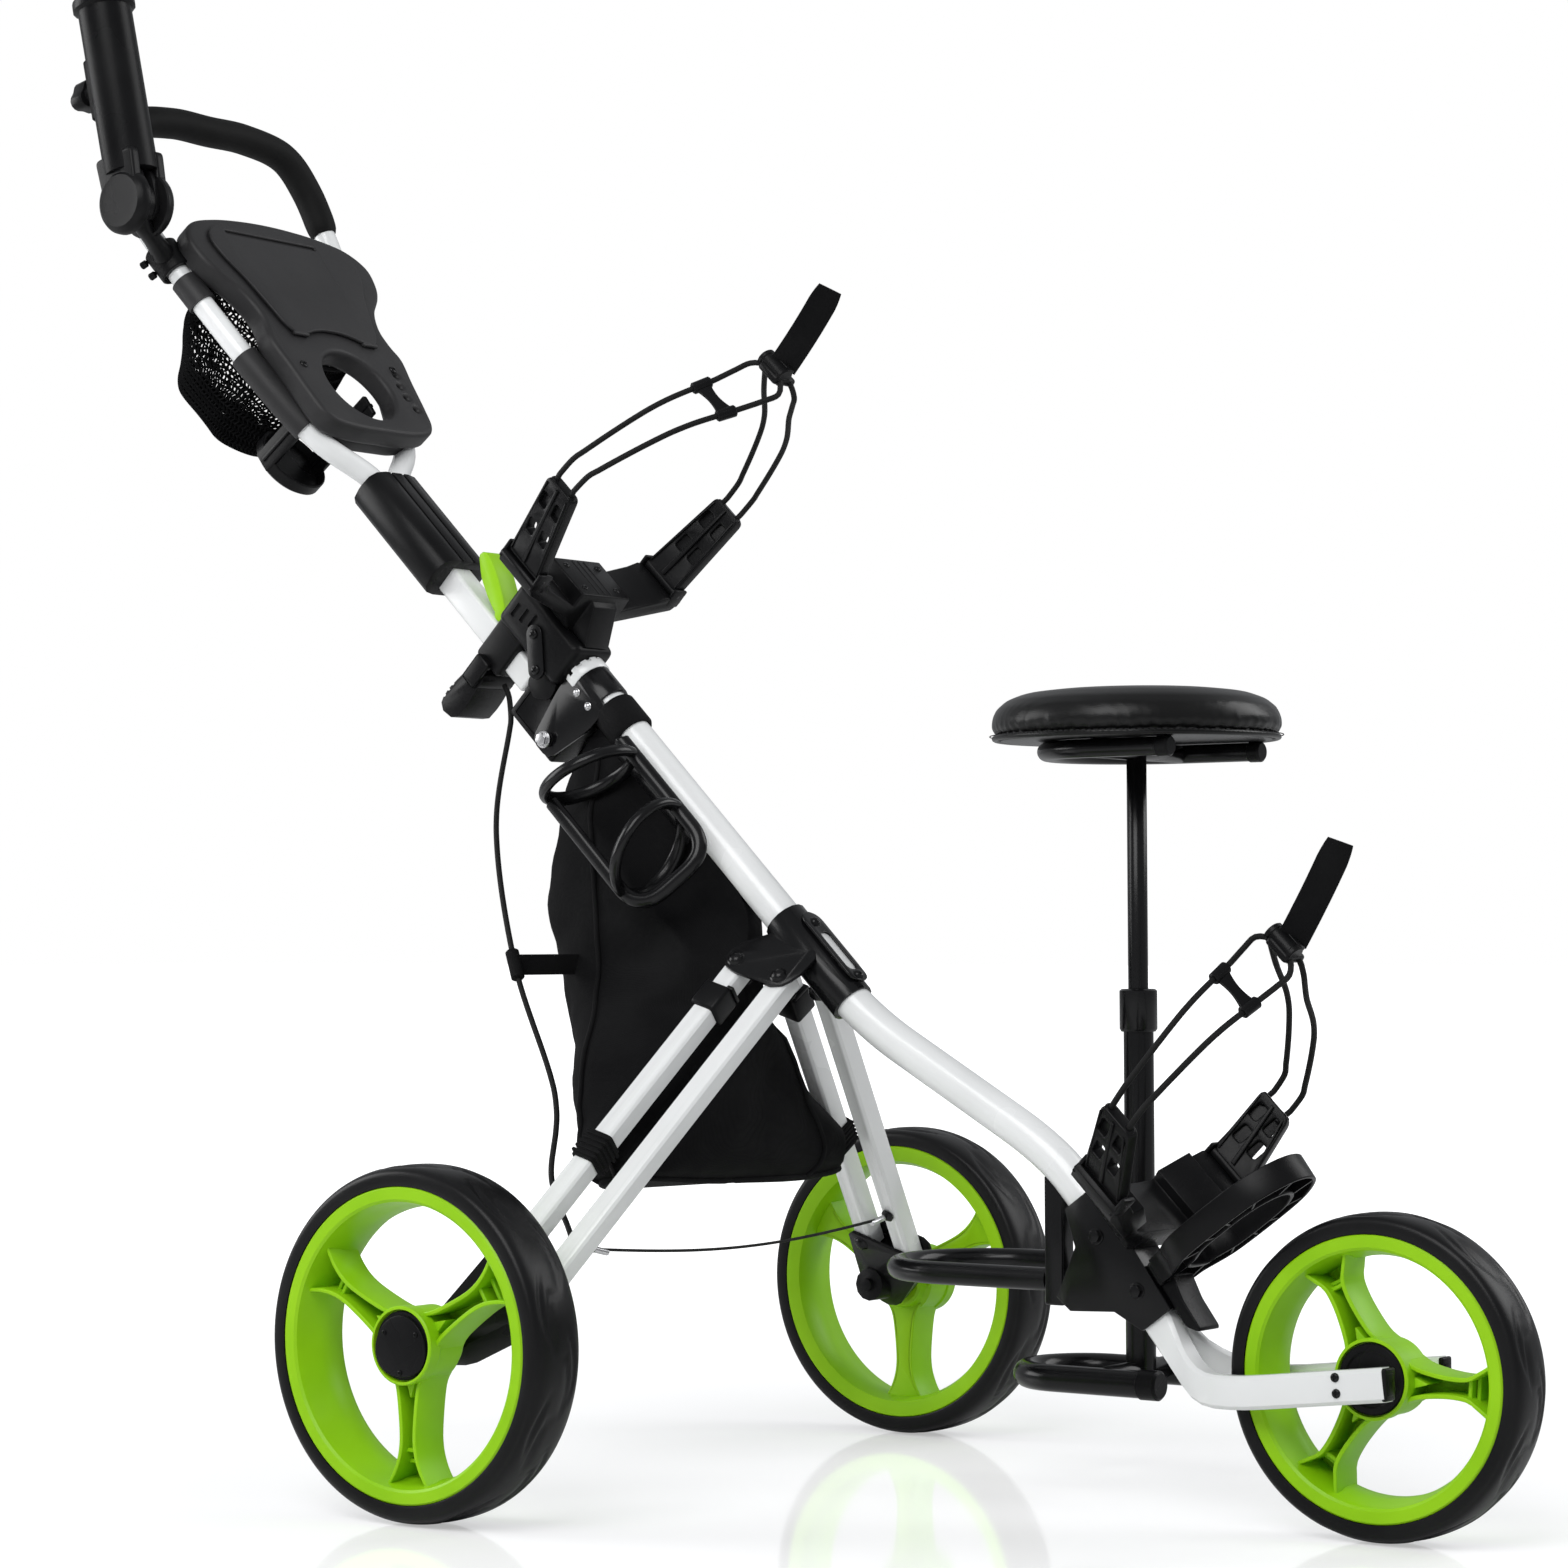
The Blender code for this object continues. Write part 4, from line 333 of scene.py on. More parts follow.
finish("white_paint", (0.78, 0.79, 0.79), (0.84, 0.85, 0.85), (0.2, 0.32), 900.0, 0.06, 9.0, coat=0.3)
finish("black_steel", (0.0035, 0.0035, 0.004), (0.007, 0.007, 0.0075), (0.14, 0.26), 1400.0, 0.1,
       specular=0.26)
finish("black_plastic", (0.0045, 0.0045, 0.005), (0.009, 0.009, 0.0095), (0.22, 0.34), 1700.0, 0.3,
       specular=0.12)
finish("charcoal_plastic", (0.017, 0.0165, 0.0175), (0.025, 0.0245, 0.0255), (0.4, 0.54), 1900.0, 0.4,
       specular=0.3)
finish("foam", (0.005, 0.005, 0.005), (0.01, 0.01, 0.01), (0.52, 0.7), 1300.0, 0.55, specular=0.12)
finish("vinyl", (0.0035, 0.0035, 0.0035), (0.007, 0.007, 0.007), (0.24, 0.36), 520.0, 0.3, pattern="cells",
       specular=0.24)
finish("green_plastic", (0.262, 0.56, 0.004), (0.315, 0.635, 0.008), (0.32, 0.44), 1100.0, 0.08,
       specular=0.24)
finish("tyre_foam", (0.0035, 0.0035, 0.004), (0.007, 0.007, 0.0075), (0.26, 0.42), 1000.0, 0.22, specular=0.2)
finish("nylon", (0.0035, 0.0035, 0.004), (0.008, 0.008, 0.0085), (0.6, 0.78), 300.0, 0.55, pattern="weave",
       specular=0.06)
finish("webbing", (0.004, 0.004, 0.0045), (0.009, 0.009, 0.0095), (0.58, 0.76), 520.0, 0.6, pattern="weave",
       specular=0.08)
finish("thread", (0.012, 0.012, 0.013), (0.02, 0.02, 0.021), (0.6, 0.75), 1500.0, 0.4, specular=0.2)
finish("elastic", (0.0045, 0.0045, 0.0045), (0.011, 0.011, 0.011), (0.52, 0.7), 420.0, 0.5, pattern="weave",
       specular=0.2)
finish("bright_steel", (0.55, 0.55, 0.56), (0.68, 0.68, 0.69), (0.22, 0.36), 1200.0, 0.1, metallic=1.0)


# Shapes
def span(a, b, c, d, spacing):
    """Points from b towards c on a smooth curve through four points."""
    count = max(1, round((c - b).length / spacing))
    path = []
    for k in range(count):
        f = k / count
        path.append(0.5 * (b * 2 + (c - a) * f + (a * 2 - b * 5 + c * 4 - d) * f ** 2
                           + (b * 3 - a - c * 3 + d) * f ** 3))
    return path


def smooth(points, spacing):
    """Points about as far apart as spacing, on a smooth curve through the given ones."""
    points = [Vector(p) for p in points]
    ends = [points[0] * 2 - points[1]] + points + [points[-1] * 2 - points[-2]]
    path = []
    for four in zip(ends, ends[1:], ends[2:], ends[3:]):
        path += span(*four, spacing)
    return path + [points[-1]]


def round_trip(points, spacing):
    """A smooth closed curve through the given points."""
    points = [Vector(p) for p in points]
    count = len(points)
    path = []
    for i in range(count):
        path += span(points[i - 1], points[i], points[(i + 1) % count], points[(i + 2) % count], spacing)
    return path


def rounded(points, radius, steps=4, closed=False):
    """A path with each corner replaced by a curve that starts radius before it."""
    points = [Vector(p) for p in points]
    path = []
    for i, corner in enumerate(points):
        if not closed and i in (0, len(points) - 1):
            path.append(corner)
            continue
        back = points[i - 1] - corner
        ahead = points[(i + 1) % len(points)] - corner
        start = corner + back.normalized() * min(radius, back.length * 0.45)
        stop = corner + ahead.normalized() * min(radius, ahead.length * 0.45)
        for k in range(steps + 1):
            f = k / steps
            path.append(start * (1 - f) ** 2 + corner * 2 * f * (1 - f) + stop * f ** 2)
    return path


def mirrored(points):
    """An outline given on its +Y half, from its start to its end on the middle line."""
    return points + [(x, -y) for x, y in reversed(points) if abs(y) > 1e-6]


def turns(count):
    """Angles that share out a full turn."""
    return [tau * k / count for k in range(count)]


def rectangle(x0, y0, x1, y1):
    """Corners of a rectangle in turn."""
    return [(x0, y0), (x1, y0), (x1, y1), (x0, y1)]


def strip(half_x, half_y):
    """Corners of a rectangle about the middle."""
    return rectangle(-half_x, -half_y, half_x, half_y)


def circle(x, y, radius, count=32, tall=1.0):
    """Points of a round or oval outline."""
    return [(x + radius * cos(a), y + radius * tall * sin(a)) for a in turns(count)]


def skin(work, rings, closed=False):
    """Faces between rings of points, with end caps unless the last ring joins the first."""
    count = len(rings[0])
    pairs = list(zip(rings, rings[1:]))
    if closed:
        pairs.append((rings[-1], rings[0]))
    for a, b in pairs:
        for k in range(count):
            work.faces.new((a[k], a[(k + 1) % count], b[(k + 1) % count], b[k]))
    if not closed:
        work.faces.new(list(reversed(rings[0])))
        work.faces.new(rings[-1])
    bmesh.ops.recalc_face_normals(work, faces=work.faces)
    return work


def sweep(points, section, closed=False, sizes=None, up=None):
    """A section of (across, above) pairs carried along a path."""
    points = [Vector(p) for p in points]
    work = bmesh.new()
    rings = []
    above = None
    for i, at in enumerate(points):
        before = points[i - 1] if i or closed else at
        after = points[(i + 1) % len(points)] if i < len(points) - 1 or closed else at
        along = (after - before).normalized()
        if up is not None:
            above = up
        elif above is None:
            above = along.orthogonal().normalized()
        above = (above - along * above.dot(along)).normalized()
        across = above.cross(along)
        size = sizes[i] if sizes else 1.0
        rings.append([work.verts.new(at + (across * x + above * y) * size) for x, y in section])
    return skin(work, rings, closed)


def tube(points, radius, sides=16, closed=False, sizes=None):
    """A round bar along a path."""
    return sweep(points, circle(0.0, 0.0, radius, sides), closed, sizes)


def bar(start, end, radius, sides=20, edge=0.0008, tip=None):
    """A round bar between two points with eased ends."""
    start, end = Vector(start), Vector(end)
    reach = (end - start).length
    tip = radius if tip is None else tip
    shape = turned([(0.0, 0.0), (radius - edge, 0.0), (radius, edge), (tip, reach - edge),
                    (tip - edge, reach), (0.0, reach)], sides)
    turn = (end - start).to_track_quat("Z", "Y").to_matrix().to_4x4()
    return moved(shape, Matrix.Translation(start) @ turn)


def turned(profile, steps, closed=False):
    """A profile of (radius, height) pairs turned about Z."""
    work = bmesh.new()
    rings = []
    for r, z in profile:
        count = 1 if r < 1e-6 else steps
        rings.append([work.verts.new((r * cos(tau * k / steps), r * sin(tau * k / steps), z))
                      for k in range(count)])
    pairs = list(zip(rings, rings[1:]))
    if closed:
        pairs.append((rings[-1], rings[0]))
    for a, b in pairs:
        if len(a) == 1 and len(b) == 1:
            continue
        for k in range(steps):
            corners = [a[k % len(a)], a[(k + 1) % len(a)], b[(k + 1) % len(b)], b[k % len(b)]]
            work.faces.new(list(dict.fromkeys(corners)))
    bmesh.ops.recalc_face_normals(work, faces=work.faces)
    return work


def moved(work, placed):
    """A shape put in a frame."""
    bmesh.ops.transform(work, matrix=placed, verts=work.verts)
    return work


def as_mesh(work):
    """The mesh of a shape."""
    mesh = bpy.data.meshes.new("shape")
    work.to_mesh(mesh)
    work.free()
    return mesh


def evaluated(holder):
    """The finished mesh of a loose object, which is then removed."""
    SCENE.collection.objects.link(holder)
    graph = bpy.context.evaluated_depsgraph_get()
    mesh = bpy.data.meshes.new_from_object(holder.evaluated_get(graph))
    bpy.data.objects.remove(holder, do_unlink=True)
    work = bmesh.new()
    work.from_mesh(mesh)
    bpy.data.meshes.remove(mesh)
    return work


def plate(outlines, low, high, edge=0.0, steps=2, placed=Matrix.Identity(4)):
    """Flat outlines with any holes, extruded from low to high, their rims rounded by edge."""
    data = bpy.data.curves.new("outline", "CURVE")
    data.dimensions = "2D"
    data.fill_mode = "BOTH"
    data.extrude = (high - low) / 2.0 - edge
    data.bevel_depth = edge
    data.bevel_resolution = steps
    data.offset = -edge
    for outline in outlines:
        run = data.splines.new("POLY")
        run.points.add(len(outline) - 1)
        for slot, point in zip(run.points, outline):
            slot.co = (point[0], point[1], 0.0, 1.0)
        run.use_cyclic_u = True
    work = evaluated(bpy.data.objects.new("outline", data))
    bmesh.ops.remove_doubles(work, verts=work.verts, dist=0.00001)
    bmesh.ops.recalc_face_normals(work, faces=work.faces)
    return moved(work, placed @ shift(0.0, 0.0, (low + high) / 2.0))


def block(low, high, edge, steps=2):
    """A box between two corners with rounded edges."""
    low, high = Vector(low), Vector(high)
    work = bmesh.new()
    bmesh.ops.create_cube(work, size=1.0)
    bmesh.ops.scale(work, vec=high - low, verts=work.verts)
    bmesh.ops.bevel(work, geom=work.edges[:], offset=edge, segments=steps, affect="EDGES", profile=0.5)
    return moved(work, Matrix.Translation((low + high) / 2.0))


def join(*shapes):
    """Several shapes as one."""
    work = bmesh.new()
    for shape in shapes:
        mesh = as_mesh(shape)
        work.from_mesh(mesh)
        bpy.data.meshes.remove(mesh)
    return work


def carve(work, *cutters):
    """A shape with others taken out of it."""
    holder = bpy.data.objects.new("carved", as_mesh(work))
    tools = []
    for shape in cutters:
        tool = bpy.data.objects.new("cutter", as_mesh(shape))
        SCENE.collection.objects.link(tool)
        tools.append(tool)
        step = holder.modifiers.new("cut", "BOOLEAN")
        step.operation = "DIFFERENCE"
        step.object = tool
    made = evaluated(holder)
    for tool in tools:
        bpy.data.objects.remove(tool, do_unlink=True)
    return made


def piece(name, work, look, body, placed=None, node=None, sharp=38.0):
    """A named piece: its mesh, its finish, the body it rides on and the solid it stands for."""
    if placed is not None:
        moved(work, placed)
    mesh = as_mesh(work)
    mesh.name = name
    mesh.shade_smooth()
    mesh.set_sharp_from_angle(angle=radians(sharp))
    mesh.materials.clear()
    mesh.materials.append(LOOKS[look])
    made = bpy.data.objects.new(name, mesh)
    SCENE.collection.objects.link(made)
    if body:
        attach(made, body)
    if node:
        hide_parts(node)
    return made


def soften(node, edge, steps=2, angle=34.0):
    """A carried-over solid with its edges rounded, in its place."""
    work = bmesh.new()
    work.from_mesh(NODES[node].data)
    bmesh.ops.remove_doubles(work, verts=work.verts, dist=0.00001)
    bmesh.ops.dissolve_limit(work, angle_limit=radians(1.0), verts=work.verts, edges=work.edges)
    holder = bpy.data.objects.new("softened", as_mesh(work))
    step = holder.modifiers.new("edges", "BEVEL")
    step.width = edge
    step.segments = steps
    step.limit_method = "ANGLE"
    step.angle_limit = radians(angle)
    step.use_clamp_overlap = True
    shape = evaluated(holder)
    look = next(e["material_slot"] for e in frame["record"]["subparts"] if e["node"] == node)
    piece(node + "_moulded", shape, look, body_of(NODES[node])[0], None, node)


def dress_nodes():
    """Each carried-over solid gets the finish of its slot."""
    for entry in frame["record"]["subparts"]:
        node = NODES[entry["node"]]
        node.data.materials.clear()
        node.data.materials.append(LOOKS[entry["material_slot"]])


# Cords and cables
def clip_seat(side, b):
    """Place of a clip's hinge along the line, leaning outwards."""
    return shift(b.along, side * b.hinge[0], b.hinge[1]) @ spin("X", -side * b.lean)


def strap_path(side, b):
    """One elastic loop: out of a clip, through the hook and back."""
    seat = clip_seat(side, b)
    hook = Vector((b.hook[0], side * HOOK_BORE_Y, b.hook[1]))
    strands = []
    for k in (-1.0, 1.0):
        out, start, past = (seat @ Vector((b.skew + k * CORD_APART, 0.0, b.length + rise))
                            for rise in (GAP, 0.005, 0.016))
        end = hook + Vector((k * (HOOK_L / 2 + 0.007), side * 0.004, -0.007))
        mid = past.lerp(end, 0.5) + Vector((0.0, side * 0.012, 0.006))
        near = past.lerp(end, 0.82) + Vector((0.0, side * 0.004, 0.001))
        past = past.lerp(mid, 0.1)
        back = hook + Vector((k * (HOOK_L / 2 - 0.002), 0.0, 0.0))
        strands.append([out, start, past, mid, near, end, back])
    return [LINE @ p for p in smooth(strands[0] + list(reversed(strands[1])), CORD_R * 6.0)]


def add_cord(name, path, radius, node, bodies, bend):
    """A round cord on its route, bending between the two bodies that hold it."""
    path = smooth(path, radius * 1.6)
    made = piece(name, tube(path, radius, 12), "elastic", None, None, node)
    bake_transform(made, bodies[0], bodies[1], start=bend[0], end=bend[1])


def add_straps():
    """Elastic loops of both bag brackets."""
    for b in BRACKETS:
        for name, side in SIDES:
            path = strap_path(side, b)
            node = f"{b.name}_cord_{name}"
            middle = (path[0] + path[-1]) / 2.0
            aim = (path[len(path) // 2] - middle) * 0.7
            add_cord(node + "_elastic", path, CORD_R, node, (f"{b.name}_{name}_clip", b.body),
                     (middle, middle + aim))


def add_cables():
    """Brake cable, split at the bag's loop, and the tie between the legs, split at its middle."""
    foot = leg_frame(-1.0, "foot")
    wall = LEG / 2.0 + 0.0005 + 0.003
    hung = [LINE @ Vector((-0.634, 0.0, -0.07))]
    hung += [ORIGIN @ Vector(p) for p in ((-0.19, -0.01, 0.66), (-0.165, -0.06, 0.56), (-0.11, -0.1, 0.44),
                                          (-0.045, -0.125, 0.33), (-0.02, -0.16, 0.262))]
    hung += [foot @ Vector((-STEP / 2 - 0.006, 0.066, -wall - 0.01)),
             foot @ Vector((-STEP / 2 + 0.001, 0.038, -wall - 0.004))]
    held = hung[3]
    path = smooth(hung, CABLE_R * 7.0)
    cut = min(range(len(path)), key=lambda i: (path[i] - held).length)
    add_cord("brake_cable_upper", path[:cut + 1], CABLE_R, "brake_cable", ("handle", "frame"),
             (path[0], path[cut - 2]))
    add_cord("brake_cable_lower", path[cut:], CABLE_R, "brake_cable", ("frame", "right_front_link"),
             (path[cut + 2], path[-3]))
    aim = (path[cut + 1] - path[cut - 1]).normalized()
    sleeve = bar(held - aim * 0.014, held + aim * 0.014, CABLE_R + 0.0035, 20, 0.0012)
    tongue = sweep([held, held.lerp(ORIGIN @ Vector((-0.085, -0.02, 0.44)), 0.85)], strip(0.009, 0.0011),
                   up=Vector((-0.5, 0.8, 0.2)))
    piece("bag_cable_loop", join(sleeve, tongue), "webbing", "frame")
    ends = [leg_frame(s, "foot") @ Vector((0.0, TIE_UP, s * (LEG / 2 + 0.004))) for s in (-1.0, 1.0)]
    sag = [ends[0].lerp(ends[1], k / 24) - Vector((0, 0, TIE_SAG * sin(pi * k / 24))) for k in range(25)]
    for name, side in SIDES:
        cord = sag[:13] if side < 0.0 else sag[12:]
        outer, inner = (cord[0], cord[-1]) if side < 0.0 else (cord[-1], cord[0])
        link = name + "_front_link"
        add_cord("tie_cable_" + name, cord, TIE_R, "tie_cable", (link, "frame"), (outer, inner))
        crimp = bar(outer.lerp(inner, 0.02), outer.lerp(inner, 0.11) - Vector((0, 0, 0.003)), TIE_R * 2.1, 14)
        piece("tie_crimp_" + name, crimp, "bright_steel", link)
        eye = turned([(0.0045, 0.0), (0.006, 0.001), (0.006, 0.003), (0.0045, 0.004), (0.0028, 0.0055),
                      (0.0, 0.006)], 20)
        moved(eye, spin("X", 0.0 if side > 0.0 else 180.0))
        piece("tie_rivet_" + name, eye, "black_steel", link,
              leg_frame(side, "foot") @ shift(0.0, TIE_UP, side * (LEG / 2 + GAP)))


# Wheels
def tread(radius, half, thick):
    """Tyre: a smooth rounded crown with shallow crescent grooves, in turn towards either shoulder."""
    around, rows = 320, 36
    shoulder = radius - thick * 0.66
    low = radius - thick + GAP
    section = [(low, half * 0.985), (low + 0.0012, half)]
    for k in range(rows + 1):
        a = pi * k / rows
        z = half * copysign(abs(cos(a)) ** 0.66, cos(a))
        section.append((shoulder + (radius - shoulder) * sin(a) ** 0.6, z))
    section += [(low + 0.0012, -half), (low, -half * 0.985)]
    work = turned(section, around, True)
    count = 9
    pitch = tau * radius / count
    for vert in work.verts:
        r = hypot(vert.co.x, vert.co.y)
        if r < shoulder + 0.002:
            continue
        s = atan2(vert.co.y, vert.co.x) % tau * radius
        depth = 0.0
        for side, lag, bow in ((1.0, 0.0, 0.46), (-1.0, 0.5, 0.46), (1.0, 0.12, 0.2), (-1.0, 0.62, 0.2)):
            f = ((s / pitch + lag) % 1.0 - 0.06) / 0.66
            if not 0.0 < f < 1.0:
                continue
            mid = half * (bow + 0.26 * sin(pi * f) - 0.2 * f)
            wide = 0.0026 * sin(pi * f ** 0.7) + 0.0004
            off = abs(side * vert.co.z - mid) / wide
            depth = max(depth, exp(-off * off) * 0.0017 * sin(pi * f) ** 0.5)
        if depth:
            scale = (r - depth) / r
            vert.co.x *= scale
            vert.co.y *= scale
    return work


def spoke_walls(inner, low, high, turn):
    """One spoke: two deep thin walls that flare into the rim, a back web, a cross rib and corner fins."""
    mid = (HUB_R + inner) * 0.5
    wall = 0.0036
    line = smooth([(HUB_R * 0.7, SPOKE_ROOT + 0.008), (HUB_R + 0.004, SPOKE_ROOT + 0.0015),
                   (mid - 0.006, SPOKE_ROOT * 0.8), (mid + 0.012, SPOKE_ROOT * 0.86),
                   (inner * 0.86, SPOKE_TIP * 0.66), (inner * 0.95, SPOKE_TIP * 0.94),
                   (inner + 0.003, SPOKE_TIP * 1.2)], 0.004)
    shapes = []
    for k in (-1.0, 1.0):
        outer = [(p.x, k * p.y) for p in line]
        inside = [(p.x, k * (p.y - wall)) for p in line]
        shapes.append(plate([outer + list(reversed(inside))], low, high, 0.0008, 2))
    back = [(p.x, p.y - wall * 0.5) for p in line]
    web = back + [(x, -y) for x, y in reversed(back)]
    shapes.append(plate([web], low, low + 0.005, 0.0005, 1))
    for at, rise in ((mid + 0.012, 0.8), (inner * 0.82, 0.62)):
        reach = min(line, key=lambda p: abs(p.x - at)).y - wall * 0.6
        crest = low + (high - low) * rise
        shapes.append(block((at - 0.0016, -reach, low + 0.002), (at + 0.0016, reach, crest), 0.0006, 1))
    pocket = [(HUB_R * 0.9, 0.0055), (HUB_R + 0.013, 0.0), (HUB_R * 0.9, -0.0055)]
    shapes.append(plate([rounded(pocket, 0.002, 2, True)], low + 0.002, high - 0.004, 0.0006, 1))
    return [moved(shape, Matrix.Rotation(turn, 4, "Z")) for shape in shapes]


def add_wheel(name, centre, side, radius, thick, width, turn, through):
    """Tyre, deep rim with three twin-wall spokes, hub barrel and cap."""
    body = name + "_wheel"
    placed = ORIGIN @ shift(*centre) @ sideways(side)
    half = width / 2.0
    piece(name + "_tread", tread(radius, half, thick), "tyre_foam", body, placed, name + "_tyre", BENT)
    rim_r = radius - thick
    seat, inner = rim_r - 0.0002, rim_r - 0.012
    lip = [(seat, half * 0.8), (seat, half - 0.0012), (rim_r - 0.0016, half), (rim_r - 0.01, half - 0.0004),
           (rim_r - 0.0122, half - 0.002), (inner - 0.0018, half * 0.72), (inner - 0.0034, half * 0.3),
           (inner - 0.005, half * 0.1), (inner - 0.0056, -half * 0.2), (inner - 0.0056, -half * 0.6),
           (inner - 0.002, -half * 0.94), (rim_r - 0.004, -half), (rim_r - 0.001, -half),
           (seat, -half * 0.96)]
    shapes = [turned(lip, 120, True)]
    hub_top = half - CAP_T - GAP
    low, high = hub_top - SPOKE_W - 0.004, hub_top - 0.004
    for k in range(3):
        shapes += spoke_walls(inner, low, high, radians(turn) + tau * k / 3)
    hub = [(AXLE_R, hub_top - HUB_W), (HUB_R * 0.72, hub_top - HUB_W), (HUB_R * 0.8, hub_top - HUB_W + 0.002),
           (HUB_R * 0.86, low), (HUB_R, low + 0.003), (HUB_R, hub_top - 0.01),
           (HUB_R + 0.0014, hub_top - 0.008), (HUB_R + 0.0014, hub_top + 0.003),
           (HUB_R + 0.0004, hub_top + 0.004), (HUB_R - 0.0012, hub_top + 0.004),
           (HUB_R - 0.0016, hub_top - 0.0006), (AXLE_R, hub_top - 0.0006)]
    shapes.append(turned(hub, 64, True))
    piece(name + "_wheel_rim", join(*shapes), "green_plastic", body, placed, name + "_rim", 32.0)
    r = CAP_R - 0.0015
    if through:
        shapes = [turned([(AXLE_R + 0.0005, hub_top), (r, hub_top), (r, half - 0.0016),
                          (r - 0.0012, half - 0.0004), (r * 0.8, half), (r * 0.74, half - 0.0012),
                          (AXLE_R + 0.002, half - 0.0008), (AXLE_R + 0.0005, half - 0.0014)], 64, True)]
    else:
        shield = []
        for a in turns(72):
            flat = 1.0 - 0.13 * max(0.0, cos(a)) ** 3 - 0.1 * (0.5 - 0.5 * cos(3.0 * a))
            shield.append((-r * flat * cos(a), r * flat * sin(a)))
        about = spin("Z", turn)
        disc = turned([(0.0, hub_top + 0.0002), (r, hub_top + 0.0002), (r, half - 0.003),
                       (r - 0.0008, half - 0.0022), (0.0, half - 0.0022)], 64)
        shapes = [disc, plate([shield], half - 0.0026, half + 0.0004, 0.0007, 2, about)]
        for a in (60.0, 180.0, 300.0):
            out = -r * (0.7 if a != 180.0 else 0.78)
            spot = about @ spin("Z", a) @ Vector((out, 0, 0))
            shapes.append(moved(screw_head(0.0022), shift(spot.x, spot.y, half + 0.0003)))
    piece(name + "_cap", join(*shapes), "black_plastic", body, placed, name + "_hub_cap", 32.0)


def add_wheels():
    """Both rear wheels and the front wheel, with the fork's screws and end plugs."""
    for name, side in SIDES:
        centre = (0.0, side * (TRACK_FACE_Y - REAR_TYRE_W / 2.0), REAR_R)
        add_wheel(name, centre, side, REAR_R, REAR_TYRE_T, REAR_TYRE_W, 90.0 * side, False)
    add_wheel("front", (WHEELBASE, 0.0, FRONT_R), -1.0, FRONT_R, FRONT_TYRE_T, FRONT_TYRE_W, -3.0, True)
    level = FRONT_R - 0.003
    spots = ((WHEELBASE - 0.014, 0.055, level + 0.0065), (WHEELBASE - 0.013, 0.055, level - 0.0055))
    piece("fork_screws", on_sides(screw_head, 0.0036, spots), "black_steel", "frame", ORIGIN)
    plugs = []
    for side in (-1.0, 1.0):
        low = Vector((WHEELBASE + 0.0245, side * 0.047 - 0.0078, FRONT_R - 0.0125))
        plugs.append(block(low, low + Vector((0.0042, 0.0156, 0.025)), 0.0016, 3))
        inset, out = Vector((0.003, 0.003, 0.004)), Vector((0.005, 0.0126, 0.021))
        plugs.append(block(low + inset, low + out, 0.0008, 2))
    piece("fork_end_plugs", join(*plugs), "black_plastic", "frame", ORIGIN)


# Fasteners
def scaled(points, size):
    """A profile at another size."""
    return [(x * size, y * size) for x, y in points]


def screw_head(radius):
    """A pan-head screw with a cross recess, its top towards +Z."""
    head = turned(scaled([(0, 0), (1, 0), (1, 0.18), (0.92, 0.38), (0.7, 0.52), (0, 0.58)], radius), 24)
    arms = [block((-x, -y, radius * 0.3), (x, y, radius), 0.0001, 1)
            for x, y in scaled([(0.58, 0.12), (0.12, 0.58)], radius)]
    return carve(head, *arms)


def rivet_head(radius):
    """A domed rivet on a thin collar, its top towards +Z."""
    return turned(scaled([(0, 0), (1.25, 0), (1.25, 0.1), (1.05, 0.22), (0.95, 0.42), (0.7, 0.66),
                          (0.38, 0.78), (0, 0.82)], radius), 28)


def hex_head(radius):
    """A hexagon bolt head on its washer, its top towards +Z."""
    washer = turned(scaled([(0, 0), (1.3, 0), (1.3, 0.14), (1.2, 0.24), (0, 0.24)], radius), 28)
    return join(washer, plate([circle(0.0, 0.0, radius, 6)], radius * 0.2, radius * 0.85, radius * 0.1, 2))


def on_sides(make, radius, spots):
    """Fasteners on both sides of the trolley, from their places on its left side."""
    return join(*[moved(make(radius), shift(x, side * y, z) @ sideways(side)) for side in (-1.0, 1.0)
                  for x, y, z in spots])


def facing(at, normal):
    """Frame at a point with its z along a direction."""
    return Matrix.Translation(Vector(at)) @ Vector(normal).to_track_quat("Z", "Y").to_matrix().to_4x4()


